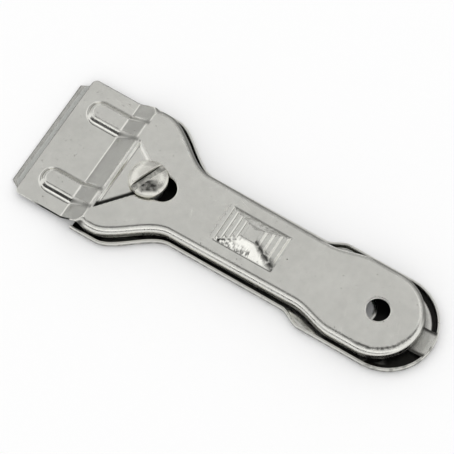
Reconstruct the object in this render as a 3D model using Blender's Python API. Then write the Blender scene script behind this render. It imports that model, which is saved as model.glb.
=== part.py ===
"""Window scraper: two pressed sheet leaves, a clamped blade with its spine, and a clamp screw in a fixed nut.

Metres, +Z up, +X towards the blade. The origin is the middle of the bottom of the whole tool.
"""

import math

import bmesh
import bpy
from mathutils import Vector
from mathutils.geometry import delaunay_2d_cdt

MM = 0.001

# Sheet and heights
SHEET = 0.7
JAW_TOP = 2.3
BODY_TOP = 6.65
TOP_FLANGE_BOTTOM = 2.7
RIM_TOP = 2.5
BEND_RADIUS = 1.3
BEND_STEPS = 4
EDGE_FLAT = 1.0
EDGE_LIP = 0.2
LEAST_AREA = 1e-4
NEAR = 1e-3
TINY = 1e-6
CUT_PAST = 1.0

# Top plate outline, half widths
TOP_FRONT_X = 61.6
TOP_HEAD = 21.3
TOP_SHOULDER_X = 35.5
TOP_NECK_X = 15.5
TOP_NECK = 11.0
TOP_WAIST_X = -25.0
TOP_WAIST = 10.6
TOP_TAIL_X = -38.0
TOP_TAIL = 13.3
HANG_X = -46.5
HANG_RADIUS = 3.45
TOP_CORNER = 1.0
TOP_FLANGE_X = 42.6
FLANGE_RUN = 5.4
STEP_LINE_HALF = 18.5

# Base plate outline, half widths
LIP_X = 64.5
LIP_HALF = 17.9
LIP_CHAMFER = 2.4
JAW_HALF = 19.25
JAW_END_X = 50.0
BASE_HEAD_X = 47.4
BASE_HEAD = 22.5
BASE_SHOULDER_X = 33.6
BASE_NECK_X = 14.6
BASE_NECK = 12.3
BASE_WAIST_X = -22.2
BASE_TAIL_X = -29.0
BASE_TAIL = 14.8
BASE_ARC_X = -49.7
BASE_HANG_X = -40.8
BASE_HANG_RADIUS = 4.0
RIM_X = 46.6
RIM_RUN = 1.4

# Square relief cut ahead of the rim
RELIEF_X = 41.9
RELIEF_FRONT_X = 56.0
RELIEF_Y = 19.3
RELIEF_OUT_Y = 26.0
RELIEF_HIGH = 6.0

# Step from the front jaw up to the body of the top plate
STEP_FOOT_X = 45.7
STEP_TOP_X = 40.0
STEP_BEND = 0.5
STEP_EASE = 0.18

# Stiffening beads across the step
BEAD_Y = 12.5
BEAD_HALF = 4.1
BEAD_WALL = 1.7
BEAD_HEIGHT = 1.9
BEAD_FRONT_X = 53.9
BEAD_END_X = 38.9
BEAD_ARC = 8

# Recess: a triangle in front of the screw and a round seat about it
RECESS_X = 38.4
RECESS_NEAR_Y = 15.4
RECESS_NEAR_SLOPE = 1.2
RECESS_FAR_Y = 9.6
RECESS_FAR_SLOPE = 0.67
RECESS_DEPTH = 0.8
RECESS_WALL = 0.6
SEAT_RADIUS = 6.0
SEAT_ARC = 15

# Thumb pad with cross ribs on its front and rear slopes
PAD_X = -5.3
PAD_LENGTH_HALF = 9.8
PAD_WIDTH_HALF = 6.0
CREST_LENGTH_HALF = 1.9
CREST_WIDTH_HALF = 2.3
PAD_HEIGHT = 3.1
RIB_COUNT = 4
RIB_HALF = 0.45
RIB_HEIGHT = 0.22
RIB_MARGIN = 0.5

# Clamp screw, its nut and the slot that it runs in
SCREW_X = 29.4
SLIDE = 4.8
SLOT_RADIUS = 4.1
SHOULDER_RADIUS = 3.7
SHOULDER_BOTTOM = 4.4
SHANK_RADIUS = 2.4
SHANK_BOTTOM = 0.2
HEAD_RADIUS = 5.75
HEAD_BOTTOM = 6.9
HEAD_WALL = 0.9
HEAD_TOP = 9.55
HEAD_SLOT_WIDTH = 1.9
HEAD_SLOT_DEPTH = 1.3
HEAD_SLOT_ANGLE = math.radians(68.5)
NUT_RADIUS = 4.3
NUT_TOP = 3.0
NUT_SEAT = 1.0
NUT_SHANK = 3.2
NUT_BOTTOM = 0.15
NUT_BORE = 2.75
NUT_HOLE = 3.55
TURN_STEPS = 40
HOLE_STEPS = 28
TAIL_STEPS = 13
DOME_STEPS = 7

# Tail lug of the base, a shallow trough that reaches in under the top plate
LUG_HALF = 4.2
LUG_TIP_X = -57.0
LUG_RIM_X = -63.7
LUG_OUTER_X = -65.5
LUG_OUTER_RADIUS = 14.5
LUG_TOP = 2.4
LUG_FALL = 0.1
LUG_DIP = 0.55
LUG_STEPS = 9

# Blade and its folded spine
BLADE_HALF = 19.05
BLADE_EDGE_X = 63.1
BLADE_BACK_X = 43.0
BLADE_SHEET = 0.25
BLADE_MID_Z = 1.22
BEVEL = 1.2
EDGE_SHEET = 0.05
BLADE_CLIP = 1.2
SPINE_FRONT_X = 46.0
SPINE_BACK_X = 42.5
SPINE_THICK = 0.66
SPINE_GAP = 0.05
FOLD_STEPS = 9


def smooth(t):
    t = min(max(t, 0.0), 1.0)
    return t * t * (3 - 2 * t)


def between(a, b, t):
    return a + (b - a) * t


def steps(start, end, count):
    """Count positions from start to end, with both ends."""
    return [between(start, end, i / (count - 1)) for i in range(count)]


def arc(cx, cy, radius, start, end, count):
    turns = steps(math.radians(start), math.radians(end), count)
    return [(cx + radius * math.cos(a), cy + radius * math.sin(a)) for a in turns]


def mirrored_loop(left):
    """A closed outline from its +Y half, which runs from the front to the tail."""
    right = [(x, -y) for x, y in reversed(left) if y > TINY]
    return left + right


def slot_loop(front_x, rear_x, radius):
    half = HOLE_STEPS // 2 + 1
    return arc(front_x, 0, radius, -90, 90, half) + arc(rear_x, 0, radius, 90, 270, half)


def ring_loop(cx, radius):
    return arc(cx, 0, radius, 0, 360 - 360 / HOLE_STEPS, HOLE_STEPS)


def outward(loop):
    """Mitred outward directions of a counter-clockwise loop."""
    found = []
    for i, here in enumerate(loop):
        before = Vector(here) - Vector(loop[i - 1])
        after = Vector(loop[(i + 1) % len(loop)]) - Vector(here)
        n1 = Vector((before.y, -before.x)).normalized()
        n2 = Vector((after.y, -after.x)).normalized()
        found.append((n1 + n2) / (1 + n1.dot(n2)))
    return found


def inside(point, loop):
    x, y = point
    odd = False
    for i, (x1, y1) in enumerate(loop):
        x0, y0 = loop[i - 1]
        if (y0 > y) != (y1 > y) and x < x0 + (y - y0) * (x1 - x0) / (y1 - y0):
            odd = not odd
    return odd


def edge_profile(amount, wall):
    """Steps outwards and down of both faces of a sheet edge, bent by amount of a right angle, then straight."""
    turn = amount * math.pi / 2
    length = between(EDGE_FLAT, BEND_RADIUS * math.pi / 2, amount)
    rows = []
    for j in range(1, BEND_STEPS + 1):
        if turn < TINY:
            out = length * j / BEND_STEPS
            rows.append(((out, 0.0), (out, SHEET)))
            continue
        radius = length / turn
        a = turn * j / BEND_STEPS
        outer = (radius * math.sin(a), radius * (1 - math.cos(a)))
        inner = ((radius - SHEET) * math.sin(a), radius - (radius - SHEET) * math.cos(a))
        rows.append((outer, inner))
    reach = wall * amount * amount + EDGE_LIP * (1 - amount)
    step = (reach * math.cos(turn), reach * math.sin(turn))
    rows.append(tuple((out + step[0], down + step[1]) for out, down in rows[-1]))
    return rows


def top_half_width(x):
    if x > TOP_NECK_X:
        return between(TOP_HEAD, TOP_NECK, smooth((TOP_SHOULDER_X - x) / (TOP_SHOULDER_X - TOP_NECK_X)))
    if x > TOP_WAIST_X:
        return between(TOP_NECK, TOP_WAIST, (TOP_NECK_X - x) / (TOP_NECK_X - TOP_WAIST_X))
    return between(TOP_WAIST, TOP_TAIL, smooth((TOP_WAIST_X - x) / (TOP_WAIST_X - TOP_TAIL_X)))


def base_half_width(x):
    if x > BASE_WAIST_X:
        t = smooth((BASE_SHOULDER_X - x) / (BASE_SHOULDER_X - BASE_NECK_X))
        return between(BASE_HEAD, BASE_NECK, t)
    return between(BASE_NECK, BASE_TAIL, smooth((BASE_WAIST_X - x) / (BASE_WAIST_X - BASE_TAIL_X)))


def top_outline():
    half = [(TOP_FRONT_X, TOP_HEAD - TOP_CORNER), (TOP_FRONT_X - TOP_CORNER, TOP_HEAD)]
    flange = steps(TOP_FLANGE_X, TOP_FLANGE_X - FLANGE_RUN, 7)
    stations = [BEAD_FRONT_X, *sorted(step_lines() + flange, reverse=True)]
    stations += steps(TOP_SHOULDER_X, TOP_NECK_X, 11)
    stations += steps(TOP_NECK_X, TOP_WAIST_X, 4)[1:]
    stations += steps(TOP_WAIST_X, TOP_TAIL_X, 8)[1:]
    half += [(x, top_half_width(x)) for x in stations]
    half += arc(HANG_X, 0, TOP_TAIL, 90, 180, TAIL_STEPS)
    return mirrored_loop(half)


def base_outline():
    half = [(LIP_X, LIP_HALF), (LIP_X - LIP_CHAMFER, JAW_HALF)]
    half += [(JAW_END_X, JAW_HALF), (BASE_HEAD_X, BASE_HEAD)]
    stations = steps(RIM_X, RIM_X - RIM_RUN, 4)
    stations += steps(BASE_SHOULDER_X, BASE_NECK_X, 11)
    stations += steps(BASE_WAIST_X, BASE_TAIL_X, 7)
    half += [(x, base_half_width(x)) for x in stations]
    half += arc(BASE_ARC_X, 0, BASE_TAIL, 90, 180, TAIL_STEPS)
    return mirrored_loop(half)


def step_lines():
    """The four bend lines of the step, from the front."""
    foot = [STEP_FOOT_X + STEP_BEND, STEP_FOOT_X - STEP_BEND]
    return foot + [STEP_TOP_X + STEP_BEND, STEP_TOP_X - STEP_BEND]


def step_height(x):
    rise = BODY_TOP - JAW_TOP
    heights = [0.0, STEP_EASE, rise - STEP_EASE, rise]
    lines = step_lines()
    if x >= lines[0]:
        return 0.0
    for i in range(3):
        if x >= lines[i + 1]:
            return between(heights[i], heights[i + 1], (lines[i] - x) / (lines[i] - lines[i + 1]))
    return rise


def bead_height(x, y):
    across = abs(abs(y) - BEAD_Y)
    distance = math.hypot(max(x - BEAD_FRONT_X, 0.0), across)
    wall = min(max((BEAD_HALF - distance) / BEAD_WALL, 0.0), 1.0)
    fade = min(max((x - BEAD_END_X) / (STEP_FOOT_X - BEAD_END_X), 0.0), 1.0)
    return BEAD_HEIGHT * wall * fade


def recess_arm(side):
    """Corner height and slope of the slanted recess side at +Y or -Y."""
    if side > 0:
        return RECESS_NEAR_Y, RECESS_NEAR_SLOPE
    return RECESS_FAR_Y, RECESS_FAR_SLOPE


def recess_loop(inset):
    """Outline of the recess, drawn in by inset: front edge, two slanted sides and an arc behind the screw."""
    radius = SEAT_RADIUS - inset
    front = RECESS_X - inset
    corners, turns = [], []
    for side in (-1, 1):
        corner, slope = recess_arm(side)
        start = corner - slope * RECESS_X - inset * math.hypot(1, slope)
        corners.append((front, side * (slope * front + start)))
        a = 1 + slope * slope
        b = 2 * (slope * start - SCREW_X)
        c = SCREW_X * SCREW_X + start * start - radius * radius
        meet = (math.sqrt(b * b - 4 * a * c) - b) / (2 * a)
        turns.append(math.degrees(math.atan2(slope * meet + start, meet - SCREW_X)))
    return corners + arc(SCREW_X, 0, radius, turns[1], 360 - turns[0], SEAT_ARC)


def recess_depth(x, y):
    corner, slope = recess_arm(1 if y > 0 else -1)
    side_gap = (corner + slope * (x - RECESS_X) - abs(y)) / math.hypot(1, slope)
    seat_gap = SEAT_RADIUS - math.hypot(x - SCREW_X, y)
    gap = max(min(RECESS_X - x, side_gap), seat_gap)
    return RECESS_DEPTH * min(max(gap / RECESS_WALL, 0.0), 1.0)


def pad_height(x, y):
    along = (PAD_LENGTH_HALF - abs(x - PAD_X)) / (PAD_LENGTH_HALF - CREST_LENGTH_HALF)
    across = (PAD_WIDTH_HALF - abs(y)) / (PAD_WIDTH_HALF - CREST_WIDTH_HALF)
    return PAD_HEIGHT * min(max(min(along, across), 0.0), 1.0)


def rib_places():
    """Distances of the rib crests from the middle of the pad."""
    return [between(CREST_LENGTH_HALF, PAD_LENGTH_HALF, (i + 0.5) / RIB_COUNT) for i in range(RIB_COUNT)]


def slope_half_width(along):
    t = (along - CREST_LENGTH_HALF) / (PAD_LENGTH_HALF - CREST_LENGTH_HALF)
    return between(CREST_WIDTH_HALF, PAD_WIDTH_HALF, t)


def rib_height(x, y):
    along = abs(x - PAD_X)
    for place in rib_places():
        half = slope_half_width(place) - RIB_MARGIN + NEAR
        if abs(y) <= half and abs(along - place) < RIB_HALF:
            return RIB_HEIGHT * (1 - abs(along - place) / RIB_HALF)
    return 0.0


def top_form(x, y):
    return JAW_TOP + step_height(x) + bead_height(x, y) - recess_depth(x, y) + pad_height(x, y)


def top_face(x, y):
    return top_form(x, y) + rib_height(x, y)


def top_under(x, y):
    return top_form(x, y) - SHEET


def bead_lines():
    lines = []
    for side in (-1, 1):
        for half in (BEAD_HALF, BEAD_HALF - BEAD_WALL):
            nose = arc(BEAD_FRONT_X, side * BEAD_Y, half, -90, 90, BEAD_ARC)
            rear = [(x, side * BEAD_Y - half) for x in (BEAD_END_X, STEP_FOOT_X)]
            back = [(x, side * BEAD_Y + half) for x in (STEP_FOOT_X, BEAD_END_X)]
            lines.append(rear + nose + back)
        lines.append([(BEAD_END_X, side * BEAD_Y - BEAD_HALF), (BEAD_END_X, side * BEAD_Y + BEAD_HALF)])
    return lines


def recess_lines():
    outer = recess_loop(0)
    inner = recess_loop(RECESS_WALL)
    corners = [[outer[i], inner[i]] for i in (0, 1)]
    return [[*outer, outer[0]], [*inner, inner[0]], *corners]


def pad_lines():
    def box(along, across):
        corners = [(PAD_X + i * along, j * across) for i, j in ((1, 1), (-1, 1), (-1, -1), (1, -1))]
        return [*corners, corners[0]]

    base = box(PAD_LENGTH_HALF, PAD_WIDTH_HALF)
    crest = box(CREST_LENGTH_HALF, CREST_WIDTH_HALF)
    lines = [base, crest]
    lines += [[base[i], crest[i]] for i in range(4)]
    for side in (-1, 1):
        for place in rib_places():
            half = slope_half_width(place) - RIB_MARGIN
            for shift in (-RIB_HALF, 0, RIB_HALF):
                x = PAD_X + side * (place + shift)
                lines.append([(x, -half), (x, half)])
    return lines


def pressed_sheet(outline, holes, lines, faces_z, bends, wall):
    """Points and faces of a sheet with a turned-down edge. faces_z gives the heights of both faces."""
    directions = outward(outline)
    profiles = [edge_profile(bends(x), wall) for x, _ in outline]
    reach = [max(row[0][0] for row in rows) for rows in profiles]
    border = [Vector(p) - n * r for p, n, r in zip(outline, directions, reach)]
    flat = [Vector(p) for p in border]
    edges = [(i, (i + 1) % len(border)) for i in range(len(border))]
    for loop in holes:
        first = len(flat)
        flat += [Vector(p) for p in loop]
        edges += [(first + i, first + (i + 1) % len(loop)) for i in range(len(loop))]
    for line in lines:
        first = len(flat)
        flat += [Vector(p) for p in line]
        edges += [(first + i, first + i + 1) for i in range(len(line) - 1)]
    flat, _, triangles, origins, _, _ = delaunay_2d_cdt(flat, edges, [], 0, 1e-5)
    place = {source: i for i, sources in enumerate(origins) for source in sources}
    limit = [tuple(p) for p in border]
    kept = []
    for triangle in triangles:
        a, b, c = (flat[i] for i in triangle)
        if abs((b - a).cross(c - a)) < LEAST_AREA:
            continue
        middle = (a + b + c) / 3
        if inside(middle, limit) and not any(inside(middle, loop) for loop in holes):
            kept.append(tuple(triangle))
    count = len(flat)
    upper, lower = faces_z
    points = [(p.x, p.y, upper(p.x, p.y)) for p in flat]
    points += [(p.x, p.y, lower(p.x, p.y)) for p in flat]
    faces = list(kept)
    faces += [tuple(count + i for i in reversed(t)) for t in kept]
    rim = [place[i] for i in range(len(border))]
    used = {}
    for t in kept:
        for a, b in zip(t, t[1:] + t[:1]):
            used[a, b] = True
    onward = set(zip(rim, rim[1:] + rim[:1]))
    for a, b in used:
        if (b, a) not in used and (a, b) not in onward:
            faces.append((b, a, count + a, count + b))
    above, below = rim, [count + i for i in rim]
    for j in range(BEND_STEPS + 1):
        rows = []
        for face in (0, 1):
            first = len(points)
            for i, p in enumerate(border):
                out, down = profiles[i][j][face]
                spot = p + directions[i] * out
                points.append((spot.x, spot.y, upper(p.x, p.y) - down))
            rows.append(list(range(first, first + len(border))))
        for i in range(len(border)):
            k = (i + 1) % len(border)
            faces.append((above[i], rows[0][i], rows[0][k], above[k]))
            faces.append((below[k], rows[1][k], rows[1][i], below[i]))
        above, below = rows
    for i in range(len(border)):
        k = (i + 1) % len(border)
        faces.append((above[i], below[i], below[k], above[k]))
    return points, faces


def turned(profile):
    """A closed solid of revolution about Z from a closed loop of (radius, height), which may start on the axis."""
    points, faces, rows = [], [], []
    for radius, height in profile:
        first = len(points)
        if radius < TINY:
            points.append((0.0, 0.0, height))
            rows.append([first] * TURN_STEPS)
            continue
        points += [(*p, height) for p in arc(0, 0, radius, 0, 360 - 360 / TURN_STEPS, TURN_STEPS)]
        rows.append(list(range(first, first + TURN_STEPS)))
    for i, row in enumerate(rows):
        above = rows[(i + 1) % len(rows)]
        for k in range(TURN_STEPS):
            n = (k + 1) % TURN_STEPS
            face = list(dict.fromkeys((row[k], row[n], above[n], above[k])))
            if len(face) > 2:
                faces.append(tuple(face))
    return points, faces


def prism(outline, low, high, axis):
    """A solid drawn along axis from a closed outline: (x, y) along Z, or (x, z) along Y."""
    points = []
    for level in (low, high):
        points += [(a, b, level) if axis == "Z" else (a, level, b) for a, b in outline]
    count = len(outline)
    faces = [tuple(range(count)), tuple(range(count, 2 * count))]
    faces += [(i, (i + 1) % count, count + (i + 1) % count, count + i) for i in range(count)]
    return points, faces


def box_outline(a0, a1, b0, b1):
    return [(a0, b0), (a1, b0), (a1, b1), (a0, b1)]


def material(name, colour, roughness):
    made = bpy.data.materials.new(name)
    made.use_nodes = True
    shader = made.node_tree.nodes["Principled BSDF"]
    shader.inputs["Base Color"].default_value = (*colour, 1)
    shader.inputs["Metallic"].default_value = 1
    shader.inputs["Roughness"].default_value = roughness
    return made


def add_object(name, shape, colour=(0.7, 0.7, 0.68), roughness=0.3, at=(0.0, 0.0, 0.0)):
    points, faces = shape
    mesh = bpy.data.meshes.new(name)
    mesh.from_pydata([tuple(v * MM for v in p) for p in points], [], faces)
    tidy = bmesh.new()
    tidy.from_mesh(mesh)
    loose = [v for v in tidy.verts if not v.link_faces]
    bmesh.ops.delete(tidy, geom=loose, context="VERTS")
    bmesh.ops.recalc_face_normals(tidy, faces=tidy.faces)
    tidy.to_mesh(mesh)
    tidy.free()
    made = bpy.data.objects.new(name, mesh)
    made.location = [v * MM for v in at]
    made.data.materials.append(material(name, colour, roughness))
    bpy.context.scene.collection.objects.link(made)
    return made


def shade_round(made):
    for face in made.data.polygons:
        face.use_smooth = True
    made.data.set_sharp_from_angle(angle=math.radians(30))


def combine(target, name, shape, operation, at=(0.0, 0.0, 0.0)):
    tool = add_object(name, shape, at=at)
    tool.hide_render = True
    tool.display_type = "WIRE"
    change = target.modifiers.new(name, "BOOLEAN")
    change.operation = operation
    change.solver = "EXACT"
    change.object = tool
    return tool


def top_bend(x):
    return smooth((TOP_FLANGE_X - x) / FLANGE_RUN)


def rim_bend(x):
    return smooth((RIM_X - x) / RIM_RUN)


def build_top_plate():
    holes = [slot_loop(SCREW_X, SCREW_X - SLIDE, SLOT_RADIUS), ring_loop(HANG_X, HANG_RADIUS)]
    outline = top_outline()
    lines = [[(x, -STEP_LINE_HALF), (x, STEP_LINE_HALF)] for x in step_lines()]
    lines += bead_lines() + recess_lines() + pad_lines()
    wall = BODY_TOP - BEND_RADIUS - TOP_FLANGE_BOTTOM
    shape = pressed_sheet(outline, holes, lines, (top_face, top_under), top_bend, wall)
    return add_object("top_plate", shape)


def lug_outline():
    """Side view of the tail lug: level at the rim, then a dip on the way in."""
    upper = [(LUG_OUTER_X, LUG_TOP)]
    for t in steps(0, 1, LUG_STEPS):
        drop = LUG_FALL * t + LUG_DIP * math.sin(math.pi * t)
        upper.append((between(LUG_RIM_X, LUG_TIP_X, t), LUG_TOP - drop))
    return upper + [(x, z - SHEET) for x, z in reversed(upper)]


def build_base_plate():
    holes = [ring_loop(SCREW_X, NUT_HOLE), ring_loop(BASE_HANG_X, BASE_HANG_RADIUS)]
    floor = (lambda x, y: 0.0, lambda x, y: -SHEET)
    wall = RIM_TOP - BEND_RADIUS
    points, faces = pressed_sheet(base_outline(), holes, [], floor, rim_bend, wall)
    made = add_object("base_plate", ([(x, y, -z) for x, y, z in points], faces))
    for side, name in ((1, "near_relief_cut"), (-1, "far_relief_cut")):
        corners = box_outline(RELIEF_X, RELIEF_FRONT_X, *sorted((side * RELIEF_Y, side * RELIEF_OUT_Y)))
        combine(made, name, prism(corners, -CUT_PAST, RELIEF_HIGH, "Z"), "DIFFERENCE")
    lug = combine(made, "tail_lug_add", prism(lug_outline(), -LUG_HALF, LUG_HALF, "Y"), "UNION")
    limit = arc(BASE_ARC_X, 0, LUG_OUTER_RADIUS, 0, 360 - 360 / TURN_STEPS, TURN_STEPS)
    combine(lug, "tail_lug_limit", prism(limit, -CUT_PAST, RELIEF_HIGH, "Z"), "INTERSECT")
    return made


def build_blade():
    half, clip = BLADE_HALF, BLADE_CLIP
    shoulder = BLADE_EDGE_X - BEVEL
    body = BLADE_SHEET / 2
    edge = EDGE_SHEET / 2
    rows = [(BLADE_BACK_X, half, body), (shoulder, half, body), (BLADE_EDGE_X, half - clip, edge)]
    points = []
    for x, y, h in rows:
        points += [(x, y, BLADE_MID_Z + h), (x, -y, BLADE_MID_Z + h)]
        points += [(x, -y, BLADE_MID_Z - h), (x, y, BLADE_MID_Z - h)]
    faces = [(0, 1, 2, 3), (8, 9, 10, 11)]
    for first in (0, 4):
        for k in range(4):
            n = (k + 1) % 4
            faces.append((first + k, first + n, first + 4 + n, first + 4 + k))
    return add_object("blade", (points, faces), (0.55, 0.55, 0.56), 0.25)


def build_blade_spine():
    outer = SPINE_THICK / 2
    inner = BLADE_SHEET / 2 + SPINE_GAP
    back = BLADE_BACK_X - SPINE_GAP
    mid = BLADE_MID_Z
    fold = [(SPINE_FRONT_X, mid + inner), (SPINE_FRONT_X, mid + outer)]
    fold += [(x, mid + z) for x, z in arc(SPINE_BACK_X + outer / 2, 0, outer, 90, 270, FOLD_STEPS)]
    fold += [(SPINE_FRONT_X, mid - outer), (SPINE_FRONT_X, mid - inner)]
    fold += [(back, mid - inner), (back, mid + inner)]
    return add_object("blade_spine", prism(fold, -BLADE_HALF, BLADE_HALF, "Y"), (0.6, 0.6, 0.6), 0.4)


def build_clamp_screw():
    dome_height = HEAD_TOP - HEAD_BOTTOM - HEAD_WALL
    dome = []
    for a in steps(0, math.pi / 2, DOME_STEPS):
        dome.append((HEAD_RADIUS * math.cos(a), HEAD_BOTTOM + HEAD_WALL + dome_height * math.sin(a)))
    dome[-1] = (0.0, HEAD_TOP)
    profile = [(0.0, SHANK_BOTTOM), (SHANK_RADIUS, SHANK_BOTTOM), (SHANK_RADIUS, SHOULDER_BOTTOM)]
    profile += [(SHOULDER_RADIUS, SHOULDER_BOTTOM), (SHOULDER_RADIUS, HEAD_BOTTOM)]
    profile += [(HEAD_RADIUS, HEAD_BOTTOM), *dome]
    made = add_object("clamp_screw", turned(profile), at=(SCREW_X, 0.0, 0.0))
    shade_round(made)
    c, s = math.cos(HEAD_SLOT_ANGLE), math.sin(HEAD_SLOT_ANGLE)
    half = HEAD_SLOT_WIDTH / 2
    corners = box_outline(-2 * HEAD_RADIUS, 2 * HEAD_RADIUS, -half, half)
    turned_corners = [(a * c - b * s, a * s + b * c) for a, b in corners]
    groove = prism(turned_corners, HEAD_TOP - HEAD_SLOT_DEPTH, HEAD_TOP + CUT_PAST, "Z")
    combine(made, "head_slot_cut", groove, "DIFFERENCE", (SCREW_X, 0.0, 0.0))
    return made


def build_clamp_nut():
    profile = [(NUT_BORE, NUT_BOTTOM), (NUT_SHANK, NUT_BOTTOM), (NUT_SHANK, NUT_SEAT)]
    profile += [(NUT_RADIUS, NUT_SEAT), (NUT_RADIUS, NUT_TOP), (NUT_BORE, NUT_TOP)]
    made = add_object("clamp_nut", turned(profile), (0.5, 0.5, 0.48), 0.4, (SCREW_X, 0.0, 0.0))
    shade_round(made)
    return made


def main():
    for old in list(bpy.data.objects):
        bpy.data.objects.remove(old)
    build_base_plate()
    build_top_plate()
    build_blade()
    build_blade_spine()
    build_clamp_screw()
    build_clamp_nut()


main()
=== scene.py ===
"""Window scraper: two pressed and plated leaves, a blade in a folded spine, a slotted screw and its nut.

Lengths are in metres, +Z is up and +X points to the blade. Every piece stands in the frame of the solids.
"""

import math
from types import SimpleNamespace

import bmesh
import bpy
import numpy as np
from bpy.props import FloatProperty, FloatVectorProperty, PointerProperty
from mathutils import Matrix, Vector, noise
from mathutils.geometry import delaunay_2d_cdt


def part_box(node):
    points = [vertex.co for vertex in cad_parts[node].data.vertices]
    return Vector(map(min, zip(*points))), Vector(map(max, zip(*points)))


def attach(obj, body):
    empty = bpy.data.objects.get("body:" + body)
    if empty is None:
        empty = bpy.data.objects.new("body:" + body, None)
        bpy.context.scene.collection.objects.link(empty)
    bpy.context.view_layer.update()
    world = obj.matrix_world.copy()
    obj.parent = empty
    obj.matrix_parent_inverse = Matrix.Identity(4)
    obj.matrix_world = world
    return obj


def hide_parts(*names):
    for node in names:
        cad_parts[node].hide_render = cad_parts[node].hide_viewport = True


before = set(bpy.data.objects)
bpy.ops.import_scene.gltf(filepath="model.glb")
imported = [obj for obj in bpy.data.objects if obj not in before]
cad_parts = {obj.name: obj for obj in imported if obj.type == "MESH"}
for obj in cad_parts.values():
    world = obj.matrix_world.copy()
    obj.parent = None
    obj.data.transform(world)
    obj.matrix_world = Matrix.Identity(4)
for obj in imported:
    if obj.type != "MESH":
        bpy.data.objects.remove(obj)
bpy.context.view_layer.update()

bl_info = {
    "name": "Window Scraper",
    "version": (1, 0, 0),
    "blender": (4, 5, 0),
    "location": "View3D > Sidebar > Scraper",
    "description": "Builds a pressed-steel window scraper piece by piece",
    "category": "Add Mesh",
}

MM = 0.001

# Boxes of the solids that the pieces stand for
LEAF_LOW, LEAF_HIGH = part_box("top_plate")
BASE_LOW, BASE_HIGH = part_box("base_plate")
BLADE_LOW, BLADE_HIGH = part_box("blade")
SPINE_LOW, SPINE_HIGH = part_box("blade_spine")
SCREW_LOW, SCREW_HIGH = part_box("clamp_screw")
NUT_LOW, NUT_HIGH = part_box("clamp_nut")
SCREW_X = (SCREW_LOW.x + SCREW_HIGH.x) / 2

# Fineness of the meshes
OUTLINE_STEP = 0.55 * MM
FORM_STEP = 0.3 * MM
STAIR_STEP = 0.09 * MM
STAIR_SIDE_STEP = 0.27 * MM
PLAIN_STEP = 1.4 * MM
EDGE_CLEAR = 0.3 * MM
FORM_CLEAR = 0.6 * MM
PAD_CLEAR = 0.8 * MM
STEP_FOOT_CLEAR = 1.3 * MM
STEP_TOP_CLEAR = 1.6 * MM
HOLE_CLEAR = 1.5 * MM
HOLE_RING = 1.1 * MM
END_RINGS = (2.1 * MM, 2.5 * MM)
BEND_ROWS = 14
ROUND_ROWS = 3
ROLL_ROWS = 5
LUG_ROWS = 25
CORNER_STEPS = 6
FOLD_STEPS = 17
SLOT_END_STEPS = 33
LEAF_END_STEPS = 40
BASE_END_STEPS = 44
HOLE_STEPS = 56
HOLE_RING_STEPS = 60
END_RING_STEPS = 90
TURN_STEPS = 120
WIDTH_SAMPLES = 2000
TEST_ROWS = 4000
LEAST_AREA = 1e-12
LEAST_TURN = 0.1
MERGE = 1e-7
SNAP = 1e-9

# What the triangulation fills: the hull of its points, or only the inside of its edges
FILL_HULL, FILL_INSIDE = 0, 1

# Marks of the points of a sheet
OUTER_SIDE, INNER_SIDE, CUT_EDGE = 0, 1, 2

# Patterns of the painted shade and darker blots, the metals and the stage, in repeats per metre
BLOTS = 900
DENTS = 330
TAIL_SPECKS = 1100
RIM_SPECKS = 800
CLOUDS, BLOTCHES, GRAIN, SWELLS = 85, 420, 900, 140
PITS, PIT_FIELDS = 1500, 160
FLOOR_FLECKS, CARD_CLOUDS = 300, 40

# Scratches in three directions: turn in radians, then repeats per metre across and along them
SCRATCHES = ((0.35, 1400, 26), (-0.62, 1900, 40), (1.25, 1600, 34))
SCRATCH_FIELD = (60, 240, 240)

# Where each mark in a metal starts and where it is full, then the weights of the marks
MARK_BOUNDS = SimpleNamespace(
    pits=(0.66, 0.74),
    pit_fields=(0.48, 0.62),
    scratch=(0.0, 0.018),
    scratch_fields=(0.62, 0.70),
    # Bounds of the painted highlight on convex edges, of the rounded edges and of the painted shade in
    # creases
    painted_edge_light=(0.25, 0.8),
    rounded=(0.02, 0.2),
    crease=(0.1, 0.7),
    crease_clouds=(0.3, 0.6),
    high=(6.8 * MM, 7.4 * MM),
)
# Darkening in creases, which is painted shade, and in pits, which are the metal's own dark marks
SHADE_AND_DIRT = SimpleNamespace(crease=0.35, pits=0.8)
# Shares of the tone: the share for convex edges is a painted highlight, and the last is the share of the dark
# colour left where the kept darkening is full
TONE = SimpleNamespace(plain=0.76, cloud=0.24, blotch=0.16, grain=0.08, painted_edge_light=0.24, scratch=0.14, grime=0.12)
ROUGH = SimpleNamespace(
    cloud=0.16, grain=0.1, shade_and_dirt=0.25, scratch=0.12, grime=0.3, rounded=0.13, least=0.06
)
SWELL = SimpleNamespace(plain=0.5, high=1.2, grain=0.05, rounded=0.6, scratch=0.02, pits=0.1)
BUMP = SimpleNamespace(strength=0.35, depth=0.12 * MM)

# Where each patch of painted shade on the upper leaf starts and where it is full: along X, down from the
# flat, in from the outline, to the far side, and in degrees about the tail. The patch about the tail is a
# painted dark reflection.
LEAF_SHADE = SimpleNamespace(
    jaw_edge=(57 * MM, 52 * MM),
    jaw_brow=(0.34 * MM, 0.18 * MM),
    near_strip=0.4 * MM,
    shoulder_run=2 * MM,
    shoulder_depth=(0.25 * MM, 0.75 * MM),
    waist_back=(-39 * MM, -34 * MM),
    waist_front=(-21 * MM, -25 * MM),
    flange_depth=(0.1 * MM, 0.45 * MM),
    waist_depth=(0.35 * MM, 1.05 * MM),
    far_side=(0, -6 * MM),
    brow_reflection_start=(75, 95),
    brow_reflection_end=(168, 148),
    brow_reflection_inset=1.55 * MM,
    brow_reflection_half=0.45 * MM,
    brow_reflection_specks=(-0.18, 0.12),
)
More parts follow.
